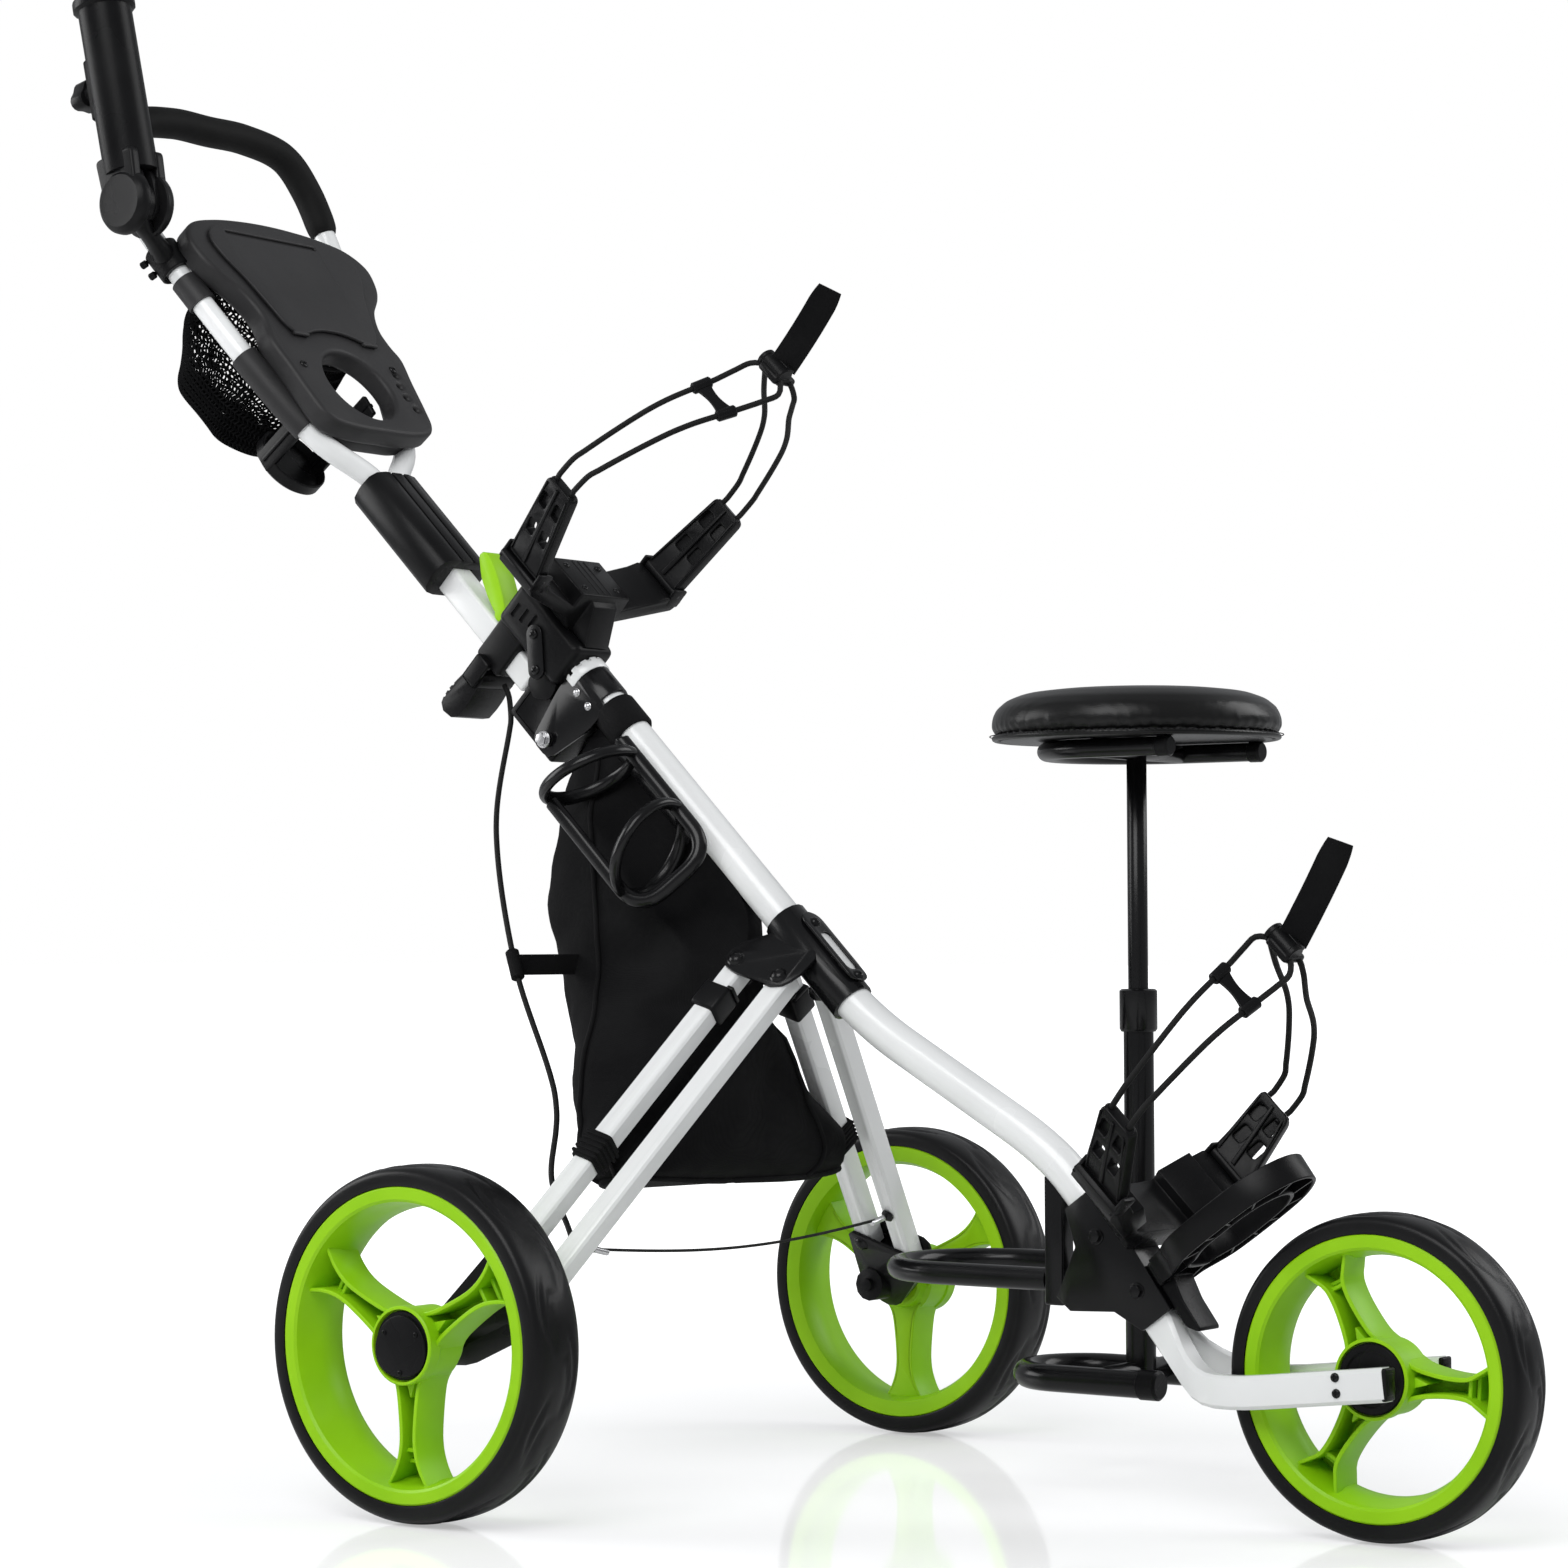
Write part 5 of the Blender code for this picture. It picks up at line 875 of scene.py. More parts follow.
# Soft goods
def inflated(work, pinned, limit):
    """A closed form blown up a little by cloth pressure, each point moving at most limit."""
    holder = bpy.data.objects.new("cover", as_mesh(work))
    step = holder.modifiers.new("remesh", "REMESH")
    step.mode = "VOXEL"
    step.voxel_size = COVER_VOXEL
    mesh = as_mesh(evaluated(holder))
    start = [v.co.copy() for v in mesh.vertices]
    cover = bpy.data.objects.new("cover", mesh)
    SCENE.collection.objects.link(cover)
    group = cover.vertex_groups.new(name="held")
    group.add([v.index for v in mesh.vertices if pinned(v.co)], 1.0, "REPLACE")
    cloth = cover.modifiers.new("cloth", "CLOTH")
    cloth.settings.vertex_group_mass = "held"
    cloth.settings.use_pressure = True
    cloth.settings.uniform_pressure_force = COVER_PRESSURE
    cloth.settings.effector_weights.gravity = 0.0
    cloth.point_cache.frame_start = 1
    cloth.point_cache.frame_end = COVER_FRAMES
    for number in range(1, COVER_FRAMES + 1):
        SCENE.frame_set(number)
    graph = bpy.context.evaluated_depsgraph_get()
    swollen = [v.co.copy() for v in cover.evaluated_get(graph).data.vertices]
    cover.modifiers.remove(cloth)
    SCENE.frame_set(1)
    moves = [new - old for old, new in zip(start, swollen)]
    beside = [[] for _ in moves]
    for edge in mesh.edges:
        a, b = edge.vertices
        beside[a].append(b)
        beside[b].append(a)
    for _ in range(COVER_SMOOTHING):
        moves = [sum((moves[k] for k in near), move) / (len(near) + 1) for move, near in zip(moves, beside)]
    for vert, old, move in zip(mesh.vertices, start, moves):
        if move.length > limit:
            move *= limit / move.length
        vert.co = old + move
    cover.modifiers.new("fine", "SUBSURF").levels = 1
    SCENE.collection.objects.unlink(cover)
    return evaluated(cover)


def add_seat_pad():
    """Round stool pad: a stuffed vinyl cover gathered under its rim, piped seam and base board."""
    r, h = SEAT_R - 0.004, SEAT_H - 0.004
    profile = [(0.0, h), (r * 0.3, h * 0.995), (r * 0.55, h * 0.97), (r * 0.76, h * 0.9), (r * 0.9, h * 0.77),
               (r * 0.98, h * 0.6), (r * 1.012, h * 0.42), (r * 1.018, h * 0.28), (r, h * 0.16),
               (r * 0.95, h * 0.06), (r * 0.9, 0.0012), (r * 0.5, 0.0012), (0.0, 0.0012)]
    pad = inflated(turned(profile, 72), lambda p: p.z < 0.004 and hypot(p.x, p.y) < SEAT_R * 0.9, 0.004)
    for vert in pad.verts:
        reach = hypot(vert.co.x, vert.co.y)
        low = max(0.0, 1.0 - abs(vert.co.z - 0.004) / 0.012)
        if reach > SEAT_R * 0.86:
            turn = atan2(vert.co.y, vert.co.x)
            pull = low * (0.0007 * sin(turn * 64.0) + 0.0005 * sin(turn * 23.0 + 1.0))
            vert.co.x *= 1.0 + pull / reach
            vert.co.y *= 1.0 + pull / reach
    placed = ORIGIN @ shift(SEAT_X, SEAT_Y, SEAT_LOW)
    made = piece("seat_cushion", pad, "vinyl", "seat", placed, "seat_pad", SOFT)
    ring = [(x, y, 0.003) for x, y in circle(0.0, 0.0, SEAT_R * 0.935, 96)]
    piece("seat_piping", tube(ring, 0.0026, 10, True), "vinyl", "seat", placed, sharp=SOFT)
    board = turned([(0.0, 0.0), (SEAT_R * 0.86, 0.0), (SEAT_R * 0.895, 0.0008), (SEAT_R * 0.9, 0.003),
                    (0.0, 0.003)], 72)
    piece("seat_board", board, "black_plastic", "seat", placed)
    stitches = []
    for a in turns(150):
        stitch = block((-0.0016, -0.0004, -0.0004), (0.0016, 0.0004, 0.0004), 0.0002, 1)
        spot = Matrix.Rotation(a, 4, "Z") @ shift(SEAT_R * 0.968, 0.0, 0.0048) @ spin("Z", 90.0)
        stitches.append(moved(stitch, spot))
    piece("seat_stitching", join(*stitches), "thread", "seat", placed)


BAG_SECTIONS = ((0.256, 0.024, 0.03, 0.136), (0.266, 0.02, 0.048, 0.148), (0.285, 0.014, 0.06, 0.149),
                (0.33, -0.002, 0.083, 0.11), (0.39, -0.017, 0.102, 0.066), (0.44, -0.03, 0.108, 0.046),
                (0.5, -0.04, 0.11, 0.044), (0.58, -0.068, 0.068, 0.031), (0.64, -0.087, 0.022, 0.014))


def keep_out(point, start, aim, radius):
    """A point moved out of a round bar that starts at a place and runs along a direction."""
    along = (point - start).dot(aim)
    off = point - start - aim * along
    if off.length < radius and off.length > 1e-6:
        return start + aim * along + off * (radius / off.length)
    return point


def bag_point(f, turn):
    """Place on the bag's skin: f runs from its bottom to its top, turn goes round it."""
    count = len(BAG_SECTIONS) - 1
    i = min(int(f * count), count - 1)
    rows = [BAG_SECTIONS[max(0, min(count, i + k))] for k in (-1, 0, 1, 2)]
    g = f * count - i
    z, middle, half_x, half_y = (0.5 * (2 * b + (c - a) * g + (2 * a - 5 * b + 4 * c - d) * g * g
                                        + (3 * b - a - 3 * c + d) * g ** 3) for a, b, c, d in zip(*rows))
    c, s = cos(turn), sin(turn)
    low = max(0.0, min(1.0, (0.38 - z) / 0.11)) * max(0.0, s)
    half_y *= 1.0 + 0.22 * low
    middle += 0.014 * low
    at = Vector((middle + half_x * copysign(abs(c) ** 0.75, c), half_y * copysign(abs(s) ** 0.75, s), z))
    fold = 0.0032 * sin(turn * 5.0 + f * 9.0) * sin(pi * min(1.0, f * 1.15))
    fold += 0.0045 * noise.noise(at * 16.0)
    fold += 0.0022 * noise.noise(at * 42.0 + Vector((3.0, 1.0, 7.0)))
    out = Vector((c / max(half_x, 0.02), s / max(half_y, 0.02), 0.0)).normalized()
    at += out * (fold - 0.0045)
    at.z -= 0.006 * sin(turn * 2.0 + 0.6) * max(0.0, 1.0 - f * 5.0)
    narrow = max(0.0, min(1.0, (z - 0.33) / 0.075))
    room = 0.011 + max(0.0, 0.078 - at.x) * 0.5 + 0.13 * (1.0 - narrow) ** 1.5
    at.y = max(-room, min(room, at.y))
    at = ORIGIN @ at
    aim = (LINE @ Vector((1.0, 0.0, 0.0))) - (LINE @ Vector((0.0, 0.0, 0.0)))
    at = keep_out(at, LINE @ Vector((0.0, 0.0, 0.0)), aim, TUBE_R + 0.0015)
    for _, side in SIDES:
        seat = leg_frame(side, "top")
        for x in (0.0, -STEP):
            at = keep_out(at, seat @ Vector((x, 0.0, 0.0)), seat.to_3x3() @ Vector((0.0, 1.0, 0.0)),
                          LEG * 0.74)
    return keep_out(at, LINE @ Vector((0.0, BOTTLE_AT[0], BOTTLE_AT[1])), aim,
                    BOTTLE_R + CAGE_WIRE * 2 + 0.003)


def add_bag():
    """Soft storage bag: sagging skin with hem, bindings, straps, clips and tethers."""
    around, rows = 96, 72
    work = bmesh.new()
    rings = [[work.verts.new(bag_point(i / rows, a)) for a in turns(around)] for i in range(rows + 1)]
    piece("bag_skin", skin(work, rings), "nylon", "frame", None, "storage_bag", 70.0)
    seam = [bag_point(0.035, a) for a in turns(120)]
    middle = sum(seam, Vector()) / len(seam)
    hem = tube([middle + (p - middle) * 1.006 for p in seam], 0.0034, 10, True)
    piece("bag_hem", hem, "webbing", "frame", sharp=SOFT)
    for name, turn in (("front", 0.55), ("near", -1.95), ("far", 1.95)):
        path = [bag_point(0.04 + 0.93 * k / 48, turn + 0.25 * k / 48) for k in range(49)]
        path = [p + (p - Vector((SHIFT - 0.05, 0.0, p.z))).normalized() * 0.001 for p in path]
        piece("bag_binding_" + name, tube(path, 0.0024, 8), "webbing", "frame", sharp=SOFT)
    wrap = [(TUBE_R + r, z) for r, z in ((0.0006, -0.016), (0.003, -0.016), (0.0042, -0.014), (0.0042, 0.014),
                                         (0.003, 0.016), (0.0006, 0.016))]
    placed = LINE @ shift(-0.51)
    piece("bag_strap_top", turned(wrap, 48, True), "webbing", "frame", placed @ spin("Y", 90.0))
    tab = block((-0.015, -0.006, -TUBE_R - 0.02), (0.015, 0.006, -TUBE_R - 0.002), 0.0022, 3)
    piece("bag_strap_tab", tab, "webbing", "frame", placed)
    half = LEG / 2 + 0.0022
    inside = half - 0.002
    for name, side in SIDES:
        leg = name + "_rear_link"
        seat = leg_frame(side, "top") @ shift(-STEP, -LEG_L * 0.61)
        lines = [rounded(strip(half, half), 0.004, 3, True), rounded(strip(inside, inside), 0.003, 3, True)]
        collar = plate(lines, -0.014, 0.014, 0.0006, 1, UPRIGHT)
        piece("bag_strap_" + name, collar, "webbing", leg, seat)
        out = half + 0.0012
        ridges = [block((-out, y - 0.0015, -out), (out, y + 0.0015, out), 0.0007, 1)
                  for y in (-0.01, -0.005, 0.0, 0.005, 0.01)]
        piece("bag_strap_ridges_" + name, join(*ridges), "webbing", leg, seat)
        clip = leg_frame(side, "top") @ shift(-STEP, -LEG_L * 0.115)
        jaws = [block((-half - 0.001, -0.013, -half - 0.001), (half + 0.001, 0.013, half + 0.001), 0.003, 3),
                block((-half - 0.004, -0.007, -0.006), (-half + 0.001, 0.009, 0.006), 0.0015, 2),
                block((-half - 0.002, 0.0125, -half * 0.8), (half + 0.002, 0.016, half * 0.8), 0.001, 2)]
        piece("bag_clip_" + name, join(*jaws), "black_plastic", leg, clip)
        start = seat @ Vector((-0.002, 0.004, side * half))
        stop = bag_point(0.06, side * 1.45)
        run = smooth([start, start.lerp(stop, 0.5) + Vector((0, 0, 0.004)), stop], 0.004)
        strap = sweep(run, strip(0.01, 0.0009), up=Vector((0.6, -side * 0.3, 0.7)))
        made = piece("bag_tether_" + name, strap, "webbing", None)
        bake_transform(made, "frame", leg, start=stop, end=start)


def net_point(f, turn):
    """Place on the ball net, from its hem at f = 0 to its bottom at f = 1."""
    side, floor = min(1.0, f / 0.72), max(0.0, (f - 0.72) / 0.28)
    size = (1.03 - 0.27 * side ** 1.6) * (1.0 - 0.93 * floor)
    rim = TRAY_LOW - GAP - 0.0014
    drop = rim - (0.106 + rim) * side ** 0.92 - 0.01 * sin(floor * pi / 2.0)
    half = (LID_TO - LID_FROM) / 2.0 + 0.012
    at = Vector(((LID_FROM + LID_TO) / 2.0 - 0.002 + half * size * cos(turn) + 0.03 * side,
                 half * 0.95 * size * sin(turn), drop))
    return at + Vector((0.005, 0.005, 0.003)) * noise.noise(at * 26.0) * min(1.0, f * 3.0)


def add_net():
    """Fine ball net under the compartment, hung from a hem."""
    work = bmesh.new()
    rows, columns = 30, 92
    rings = [[work.verts.new(net_point(i / (rows - 1), tau * (k + 0.5 * (i % 2)) / columns))
              for k in range(columns)] for i in range(rows)]
    for upper, lower in zip(rings, rings[1:]):
        for k in range(columns):
            after = (k + 1) % columns
            work.faces.new((upper[k], upper[after], lower[after], lower[k]))
    work.faces.new(rings[-1])
    holder = bpy.data.objects.new("net", as_mesh(work))
    strands = holder.modifiers.new("strands", "WIREFRAME")
    strands.thickness = NET_THREAD
    strands.use_even_offset = False
    strands.use_boundary = True
    piece("net_pouch", evaluated(holder), "nylon", "handle", HANDLE, "ball_net", SOFT)
    hem = [net_point(0.0, a) for a in turns(72)]
    piece("net_hem", tube(hem, 0.0024, 10, True), "webbing", "handle", HANDLE, sharp=SOFT)


def loop_path(spacing):
    """Centre line of the handle loop."""
    half = [Vector((t, y, n)) for t, n, y in LOOP_POINTS]
    return smooth(half + [Vector((p.x, -p.y, p.z)) for p in reversed(half[:-1])], spacing)


def ring_ends(seat, reach):
    """Ends of the umbrella clamp's ring on the loop, as another frame sees them."""
    here = seat.inverted() @ LINE
    return [here @ Vector((-1.13 + k, -0.1225 + k * 0.2, -0.0005 - k * 0.13)) for k in (-reach, reach)]


def add_handle():
    """White loop, foam grip with eased ends."""
    piece("handle_bar", tube(loop_path(0.008), LOOP_R, 28), "white_paint", "handle", LINE, "handle_loop",
          SOFT)
    held = [p for p in loop_path(0.004) if p.x < GRIP_FROM - 0.038]
    sizes = []
    for i in range(len(held)):
        edge = min(i, len(held) - 1 - i)
        sizes.append(1.0 if edge > 3 else (0.8, 0.92, 0.97, 0.99)[edge])
    piece("grip_foam", tube(held, GRIP_R, 32, False, sizes), "foam", "handle", LINE, "foam_grip", SOFT)


def tube_path():
    """Centre line of the main tube."""
    corners = [LINE @ Vector((-0.575, 0.0, 0.0))]
    corners += [ORIGIN @ Vector((x, 0.0, z))
                for x, z in ((0.19, 0.394), (WHEELBASE - 0.299, 0.288), (WHEELBASE - 0.256, 0.24))]
    return rounded(corners, TUBE_BEND_R, 14)


def hairpin(x, y, radius, z, steps):
    """Half a circle, open towards the front, at a height."""
    return [(x - radius * sin(a), y - radius * cos(a), z) for a in [pi * k / steps for k in range(steps + 1)]]


def end_plugs(ahead, wide, z, reach, radius, sides, edge):
    """Plugs on the two open ends of one of the stool's bent bars."""
    plugs = []
    for k in (-1.0, 1.0):
        end = Vector((SEAT_X + ahead, SEAT_Y + k * wide, z))
        plugs.append(bar(end - Vector((reach[0], 0, 0)), end + Vector((reach[1], 0, 0)), radius, sides, edge))
    return join(*plugs)


def add_tubes():
    """Main tube, and the bent steel of the stool."""
    piece("main_bar", tube(tube_path(), TUBE_R, 36), "white_paint", "frame", None, "main_tube", BENT)
    turn, z = SEAT_Y / 2.0, 0.185
    path = [(WHEELBASE - 0.294 - 0.0093, 0.0, z)] + hairpin(SEAT_X - 0.105, turn, turn, z, 32)
    path.append((SEAT_X - 0.0108, SEAT_Y, z))
    piece("seat_stay_bar", tube(path, 0.0095, 24), "black_steel", "frame", ORIGIN, "seat_stay", BENT)
    z = 0.092
    wide, ahead = 0.05, 0.045
    path = hairpin(SEAT_X - 0.055, SEAT_Y, wide, z, 28)
    path = [(SEAT_X + ahead, SEAT_Y - wide, z)] + path + [(SEAT_X + ahead, SEAT_Y + wide, z)]
    stand = [(0.009, 0.418), (0.014, 0.418), (0.016, 0.4165), (0.016, 0.3845), (0.0145, 0.382),
             (0.0127, 0.382), (0.0127, 0.098), (0.009, 0.098)]
    shapes = [moved(turned(stand, 36, True), shift(SEAT_X, SEAT_Y)), tube(path, 0.0115, 24),
              bar((SEAT_X - 0.002, SEAT_Y - wide, z + 0.004), (SEAT_X - 0.002, SEAT_Y + wide, z + 0.004),
                  0.0095, 24)]
    piece("seat_stand_tube", join(*shapes), "black_steel", "frame", ORIGIN, "seat_stand", BENT)
    feet = end_plugs(ahead, wide, z, (0.016, 0.004), 0.0126, 28, 0.0022)
    z = SEAT_LOW - GAP - 0.008
    wide = 0.076
    path = hairpin(SEAT_X, SEAT_Y, wide, z, 32)
    path = [(SEAT_X + wide, SEAT_Y - wide, z)] + path + [(SEAT_X + wide, SEAT_Y + wide, z)]
    shapes = [tube(path, 0.008, 22)]
    shapes.append(bar((SEAT_X, SEAT_Y - wide, z), (SEAT_X, SEAT_Y + wide, z), 0.0078, 22))
    shapes.append(bar((SEAT_X, SEAT_Y, 0.25), (SEAT_X, SEAT_Y, z), 0.0085, 28))
    piece("seat_post_tube", join(*shapes), "black_steel", "seat", ORIGIN, "seat_post", BENT)
    plugs = end_plugs(wide, wide, z, (0.01, 0.003), 0.0089, 24, 0.0016)
    piece("seat_ring_plugs", plugs, "black_plastic", "seat", ORIGIN)
    piece("seat_foot_plugs", feet, "black_plastic", "frame", ORIGIN)


# Console
def add_console():
    """Tray with cup well and compartment, lid with its finger slot, cup rest, tee holes and screws."""
    half = [(-0.252, 0.0), (-0.2505, 0.035), (-0.246, 0.07), (-0.236, 0.104), (-0.216, 0.1225),
            (-0.192, 0.121), (-0.174, 0.112), (-0.152, 0.093), (-0.128, 0.0835), (-0.108, 0.085),
            (-0.09, 0.09), (-0.06, 0.085), (-0.025, 0.08), (-0.004, 0.075), (0.007, 0.062), (0.012, 0.034),
            (0.0125, 0.0)]
    outline = [(p.x, p.y) for p in round_trip(mirrored(half), 0.004)]
    lid_half = [(LID_FROM + x, y) for x, y in ((0.0, 0.0), (0.0015, 0.04), (0.006, 0.074), (0.016, 0.092),
                                               (0.03, 0.098), (0.05, 0.0935))]
    lid_half += [(LID_TO - x, y) for x, y in ((0.062, 0.08), (0.03, 0.069), (0.012, 0.063), (0.001, 0.054),
                                              (0.001, 0.04), (0.006, 0.026), (0.009, 0.012), (0.0095, 0.0))]
    lid_line = [(p.x, p.y) for p in round_trip(mirrored(lid_half), 0.004)]
    middle = (LID_FROM + LID_TO) / 2.0
    inside = [(middle + (x - middle) * 0.88, y * 0.88) for x, y in lid_line]
    cup = circle(CUP_X, 0.0, CUP_R, 64)
    tees = [circle(CUP_X + (k - 1.5) * CUP_R * 0.35, CUP_R + 0.022 + 0.004 * (abs(k - 1.5) - 1.0), 0.0028, 16)
            for k in range(4)]
    tray = plate([outline, cup, inside] + tees, TRAY_LOW, TRAY_TOP, 0.005, 4)
    tray = carve(tray, bar(*ring_ends(HANDLE, 0.0154), 0.0172, 40, 0.0002))
    floor = plate([[(middle + (x - middle) * 0.92, y * 0.92) for x, y in lid_line]], TRAY_LOW,
                  TRAY_LOW + 0.004, 0.0008, 1)
    apron = plate([rounded([(-0.006, -0.058), (0.006, -0.05), (0.0105, -0.03), (0.0105, 0.03), (0.006, 0.05),
                            (-0.006, 0.058)], 0.008, 4, True)], TRAY_LOW - 0.012, TRAY_LOW + 0.002, 0.003, 3)
    piece("console_body", join(tray, floor, apron), "charcoal_plastic", "handle", HANDLE, "console_tray",
          MOULDED)
    lid_low = TRAY_TOP + GAP
    slot = rounded(rectangle(LID_FROM + 0.014, -0.072, LID_FROM + 0.0185, 0.05), 0.002, 4, True)
    lid = plate([lid_line, slot], lid_low, lid_low + LID_T, 0.0016, 3)
    under = plate([rectangle(LID_FROM + 0.012, -0.075, LID_FROM + 0.021, 0.053)], lid_low + 0.0002,
                  lid_low + 0.0014, 0.0002, 1)
    piece("console_cover", join(lid, under), "charcoal_plastic", "lid", HANDLE, "console_lid", MOULDED)
    hinge = [bar((LID_TO - 0.0005, y - 0.01, lid_low + 0.002), (LID_TO - 0.0005, y + 0.01, lid_low + 0.002),
                 0.0021, 18) for y in (-0.047, 0.047)]
    piece("console_hinge", join(*hinge), "charcoal_plastic", "lid", HANDLE)
    heads = [moved(screw_head(0.0042), shift(x, y, TRAY_TOP - 0.0004))
             for x, y in ((-0.062, -0.066), (-0.074, 0.064))]
    piece("console_screws", join(*heads), "black_steel", "handle", HANDLE)
    saddles = []
    path = [HANDLE.inverted() @ LINE @ p for p in loop_path(0.003)]
    for low, high, side in ((-0.19, -0.156, -1.0), (-0.098, -0.012, -1.0), (-0.236, -0.176, 1.0),
                            (-0.098, -0.012, 1.0)):
        run = [p for p in path if low < p.x < high and p.y * side > 0.02]
        saddles.append(tube(run, LOOP_R + 0.003, 32))
    piece("console_saddles", join(*saddles), "charcoal_plastic", "handle", HANDLE, sharp=MOULDED)
    button = turned([(0.0, 0.0), (0.006, 0.0), (0.0066, 0.0012), (0.0066, 0.008), (0.0056, 0.0094),
                     (0.0, 0.0098)], 28)
    piece("console_button", button, "black_plastic", "handle",
          HANDLE @ shift(-0.186, -0.104, TRAY_LOW) @ spin("X", 180.0))
    low = TRAY_LOW - GAP
    dish = [(0.0, -CUP_DROP), (CUP_REST_R - 0.004, -CUP_DROP), (CUP_REST_R, -CUP_DROP + 0.003),
            (CUP_REST_R, -CUP_DROP + 0.013), (CUP_REST_R - 0.0012, -CUP_DROP + 0.0142),
            (CUP_REST_R - 0.003, -CUP_DROP + 0.013), (CUP_REST_R - 0.004, -CUP_DROP + 0.0075),
            (0.0, -CUP_DROP + 0.007)]
    shapes = [moved(turned(dish, 56), shift(CUP_X))]
    for y in (-CUP_REST_R + 0.003, CUP_REST_R - 0.003):
        shapes.append(block((CUP_X - 0.011, y - 0.0028, -CUP_DROP + 0.002), (CUP_X + 0.011, y + 0.0028, low),
                            0.0016, 3))
        shapes.append(block((CUP_X - 0.002, y - 0.0044, -CUP_DROP + 0.006), (CUP_X + 0.002, y + 0.0044, low),
                            0.001, 2))
    piece("cup_rest_cradle", join(*shapes), "black_plastic", "handle", HANDLE, "cup_rest", MOULDED)


# Brackets
def add_clips():
    """Four windowed clips: a curved plate with a rib down its back, on its barrel."""
    half, top = 0.022, 0.017
    for b in BRACKETS:
        length, skew = b.length, b.skew
        for name, side in SIDES:
            line = rounded([(-half, 0.001), (half, 0.001), (top + skew, length), (-top + skew, length)],
                           0.006, 4, True)
            holes = []
            for row in (0.42, 0.76):
                for k in (-1.0, 1.0):
                    x, z = skew * row + k * half * 0.42, length * row
                    hole = rectangle(x - 0.005, z - 0.007, x + 0.005, z + 0.007)
                    holes.append(rounded(hole, 0.0024, 4, True))
            low = 0.006 if side > 0.0 else length * 0.62
            back = [(-top * 0.9 + skew * 0.6, low), (top * 0.9 + skew * 0.6, low),
                    (top * 0.86 + skew, length - 0.006), (-top * 0.86 + skew, length - 0.006)]
            rib = [(skew * 0.05 - 0.0022, 0.004), (skew * 0.05 + 0.0022, 0.004),
                   (skew + 0.0016, length - 0.003), (skew - 0.0016, length - 0.003)]
            shapes = [plate([line] + holes, -0.0056, 0.0056, 0.0014, 2, UPRIGHT),
                      plate([back], -0.0014, 0.0014, 0.0004, 1, UPRIGHT),
                      plate([rib], -0.0078, 0.0078, 0.001, 2, UPRIGHT)]
            for k in (-1.0, 1.0):
                edge = [(k * half - 0.0016 * k, 0.004), (k * half - 0.0034 * k, 0.004),
                        (k * top + skew - 0.0034 * k, length - 0.005),
                        (k * top + skew - 0.0016 * k, length - 0.005)]
                shapes.append(plate([edge], -0.007, 0.007, 0.0006, 1, UPRIGHT))
            shapes.append(bar((-half, 0, 0), (half, 0, 0), 0.0055, 28, 0.001))
            for k in (-1.0, 1.0):
                x = skew + k * CORD_APART
                shapes.append(bar((x, 0, length - 0.01), (x, 0, length + 0.0002), 0.0052, 20, 0.0012))
            shape = join(*shapes)
            for vert in shape.verts:
                f = max(0.0, vert.co.z / length)
                vert.co.y += side * 0.0016 * sin(pi * min(1.0, f))
            piece(f"{b.name}_clip_plate_{name}", shape, "black_plastic", f"{b.name}_{name}_clip",
                  LINE @ clip_seat(side, b), f"{b.name}_clip_{name}", MOULDED)


def add_bracket_details():
    """Hinge pins and lugs of the two bag brackets, and the upper one's screws and ribs."""
    for b in BRACKETS:
        pins, lugs = [], []
        for side in (-1.0, 1.0):
            y, z = side * b.hinge[0], b.hinge[1]
            for k in (-1.0, 1.0):
                pins.append(moved(rivet_head(0.004), shift(k * 0.0222, y, z) @ spin("Y", 90.0 * k)))
                lugs.append(block((k * 0.0235 - 0.0018, y - 0.0085, z - 0.012),
                                  (k * 0.0235 + 0.0018, y + 0.0085, z + 0.0068), 0.0014, 2))
        seat = LINE @ shift(b.along)
        piece(b.name + "_hinge_pins", join(*pins), "black_steel", b.body, seat)
        piece(b.name + "_hinge_lugs", join(*lugs), "black_plastic", b.body, seat)
    seat = LINE @ shift(BRACKETS[0].along)
    heads = [moved(screw_head(0.0034), shift(x, y, 0.0655)) for x in (-0.015, 0.015) for y in (-0.022, 0.022)]
    ridges = [block((-0.0225, -0.0012 + y, 0.062), (0.0225, 0.0012 + y, 0.0664), 0.0005, 1)
              for y in (-0.008, 0.0, 0.008)]
    piece("upper_cradle_screws", join(*heads), "black_steel", "handle", seat)
    piece("upper_cradle_ribs", join(*ridges), "black_plastic", "handle", seat)


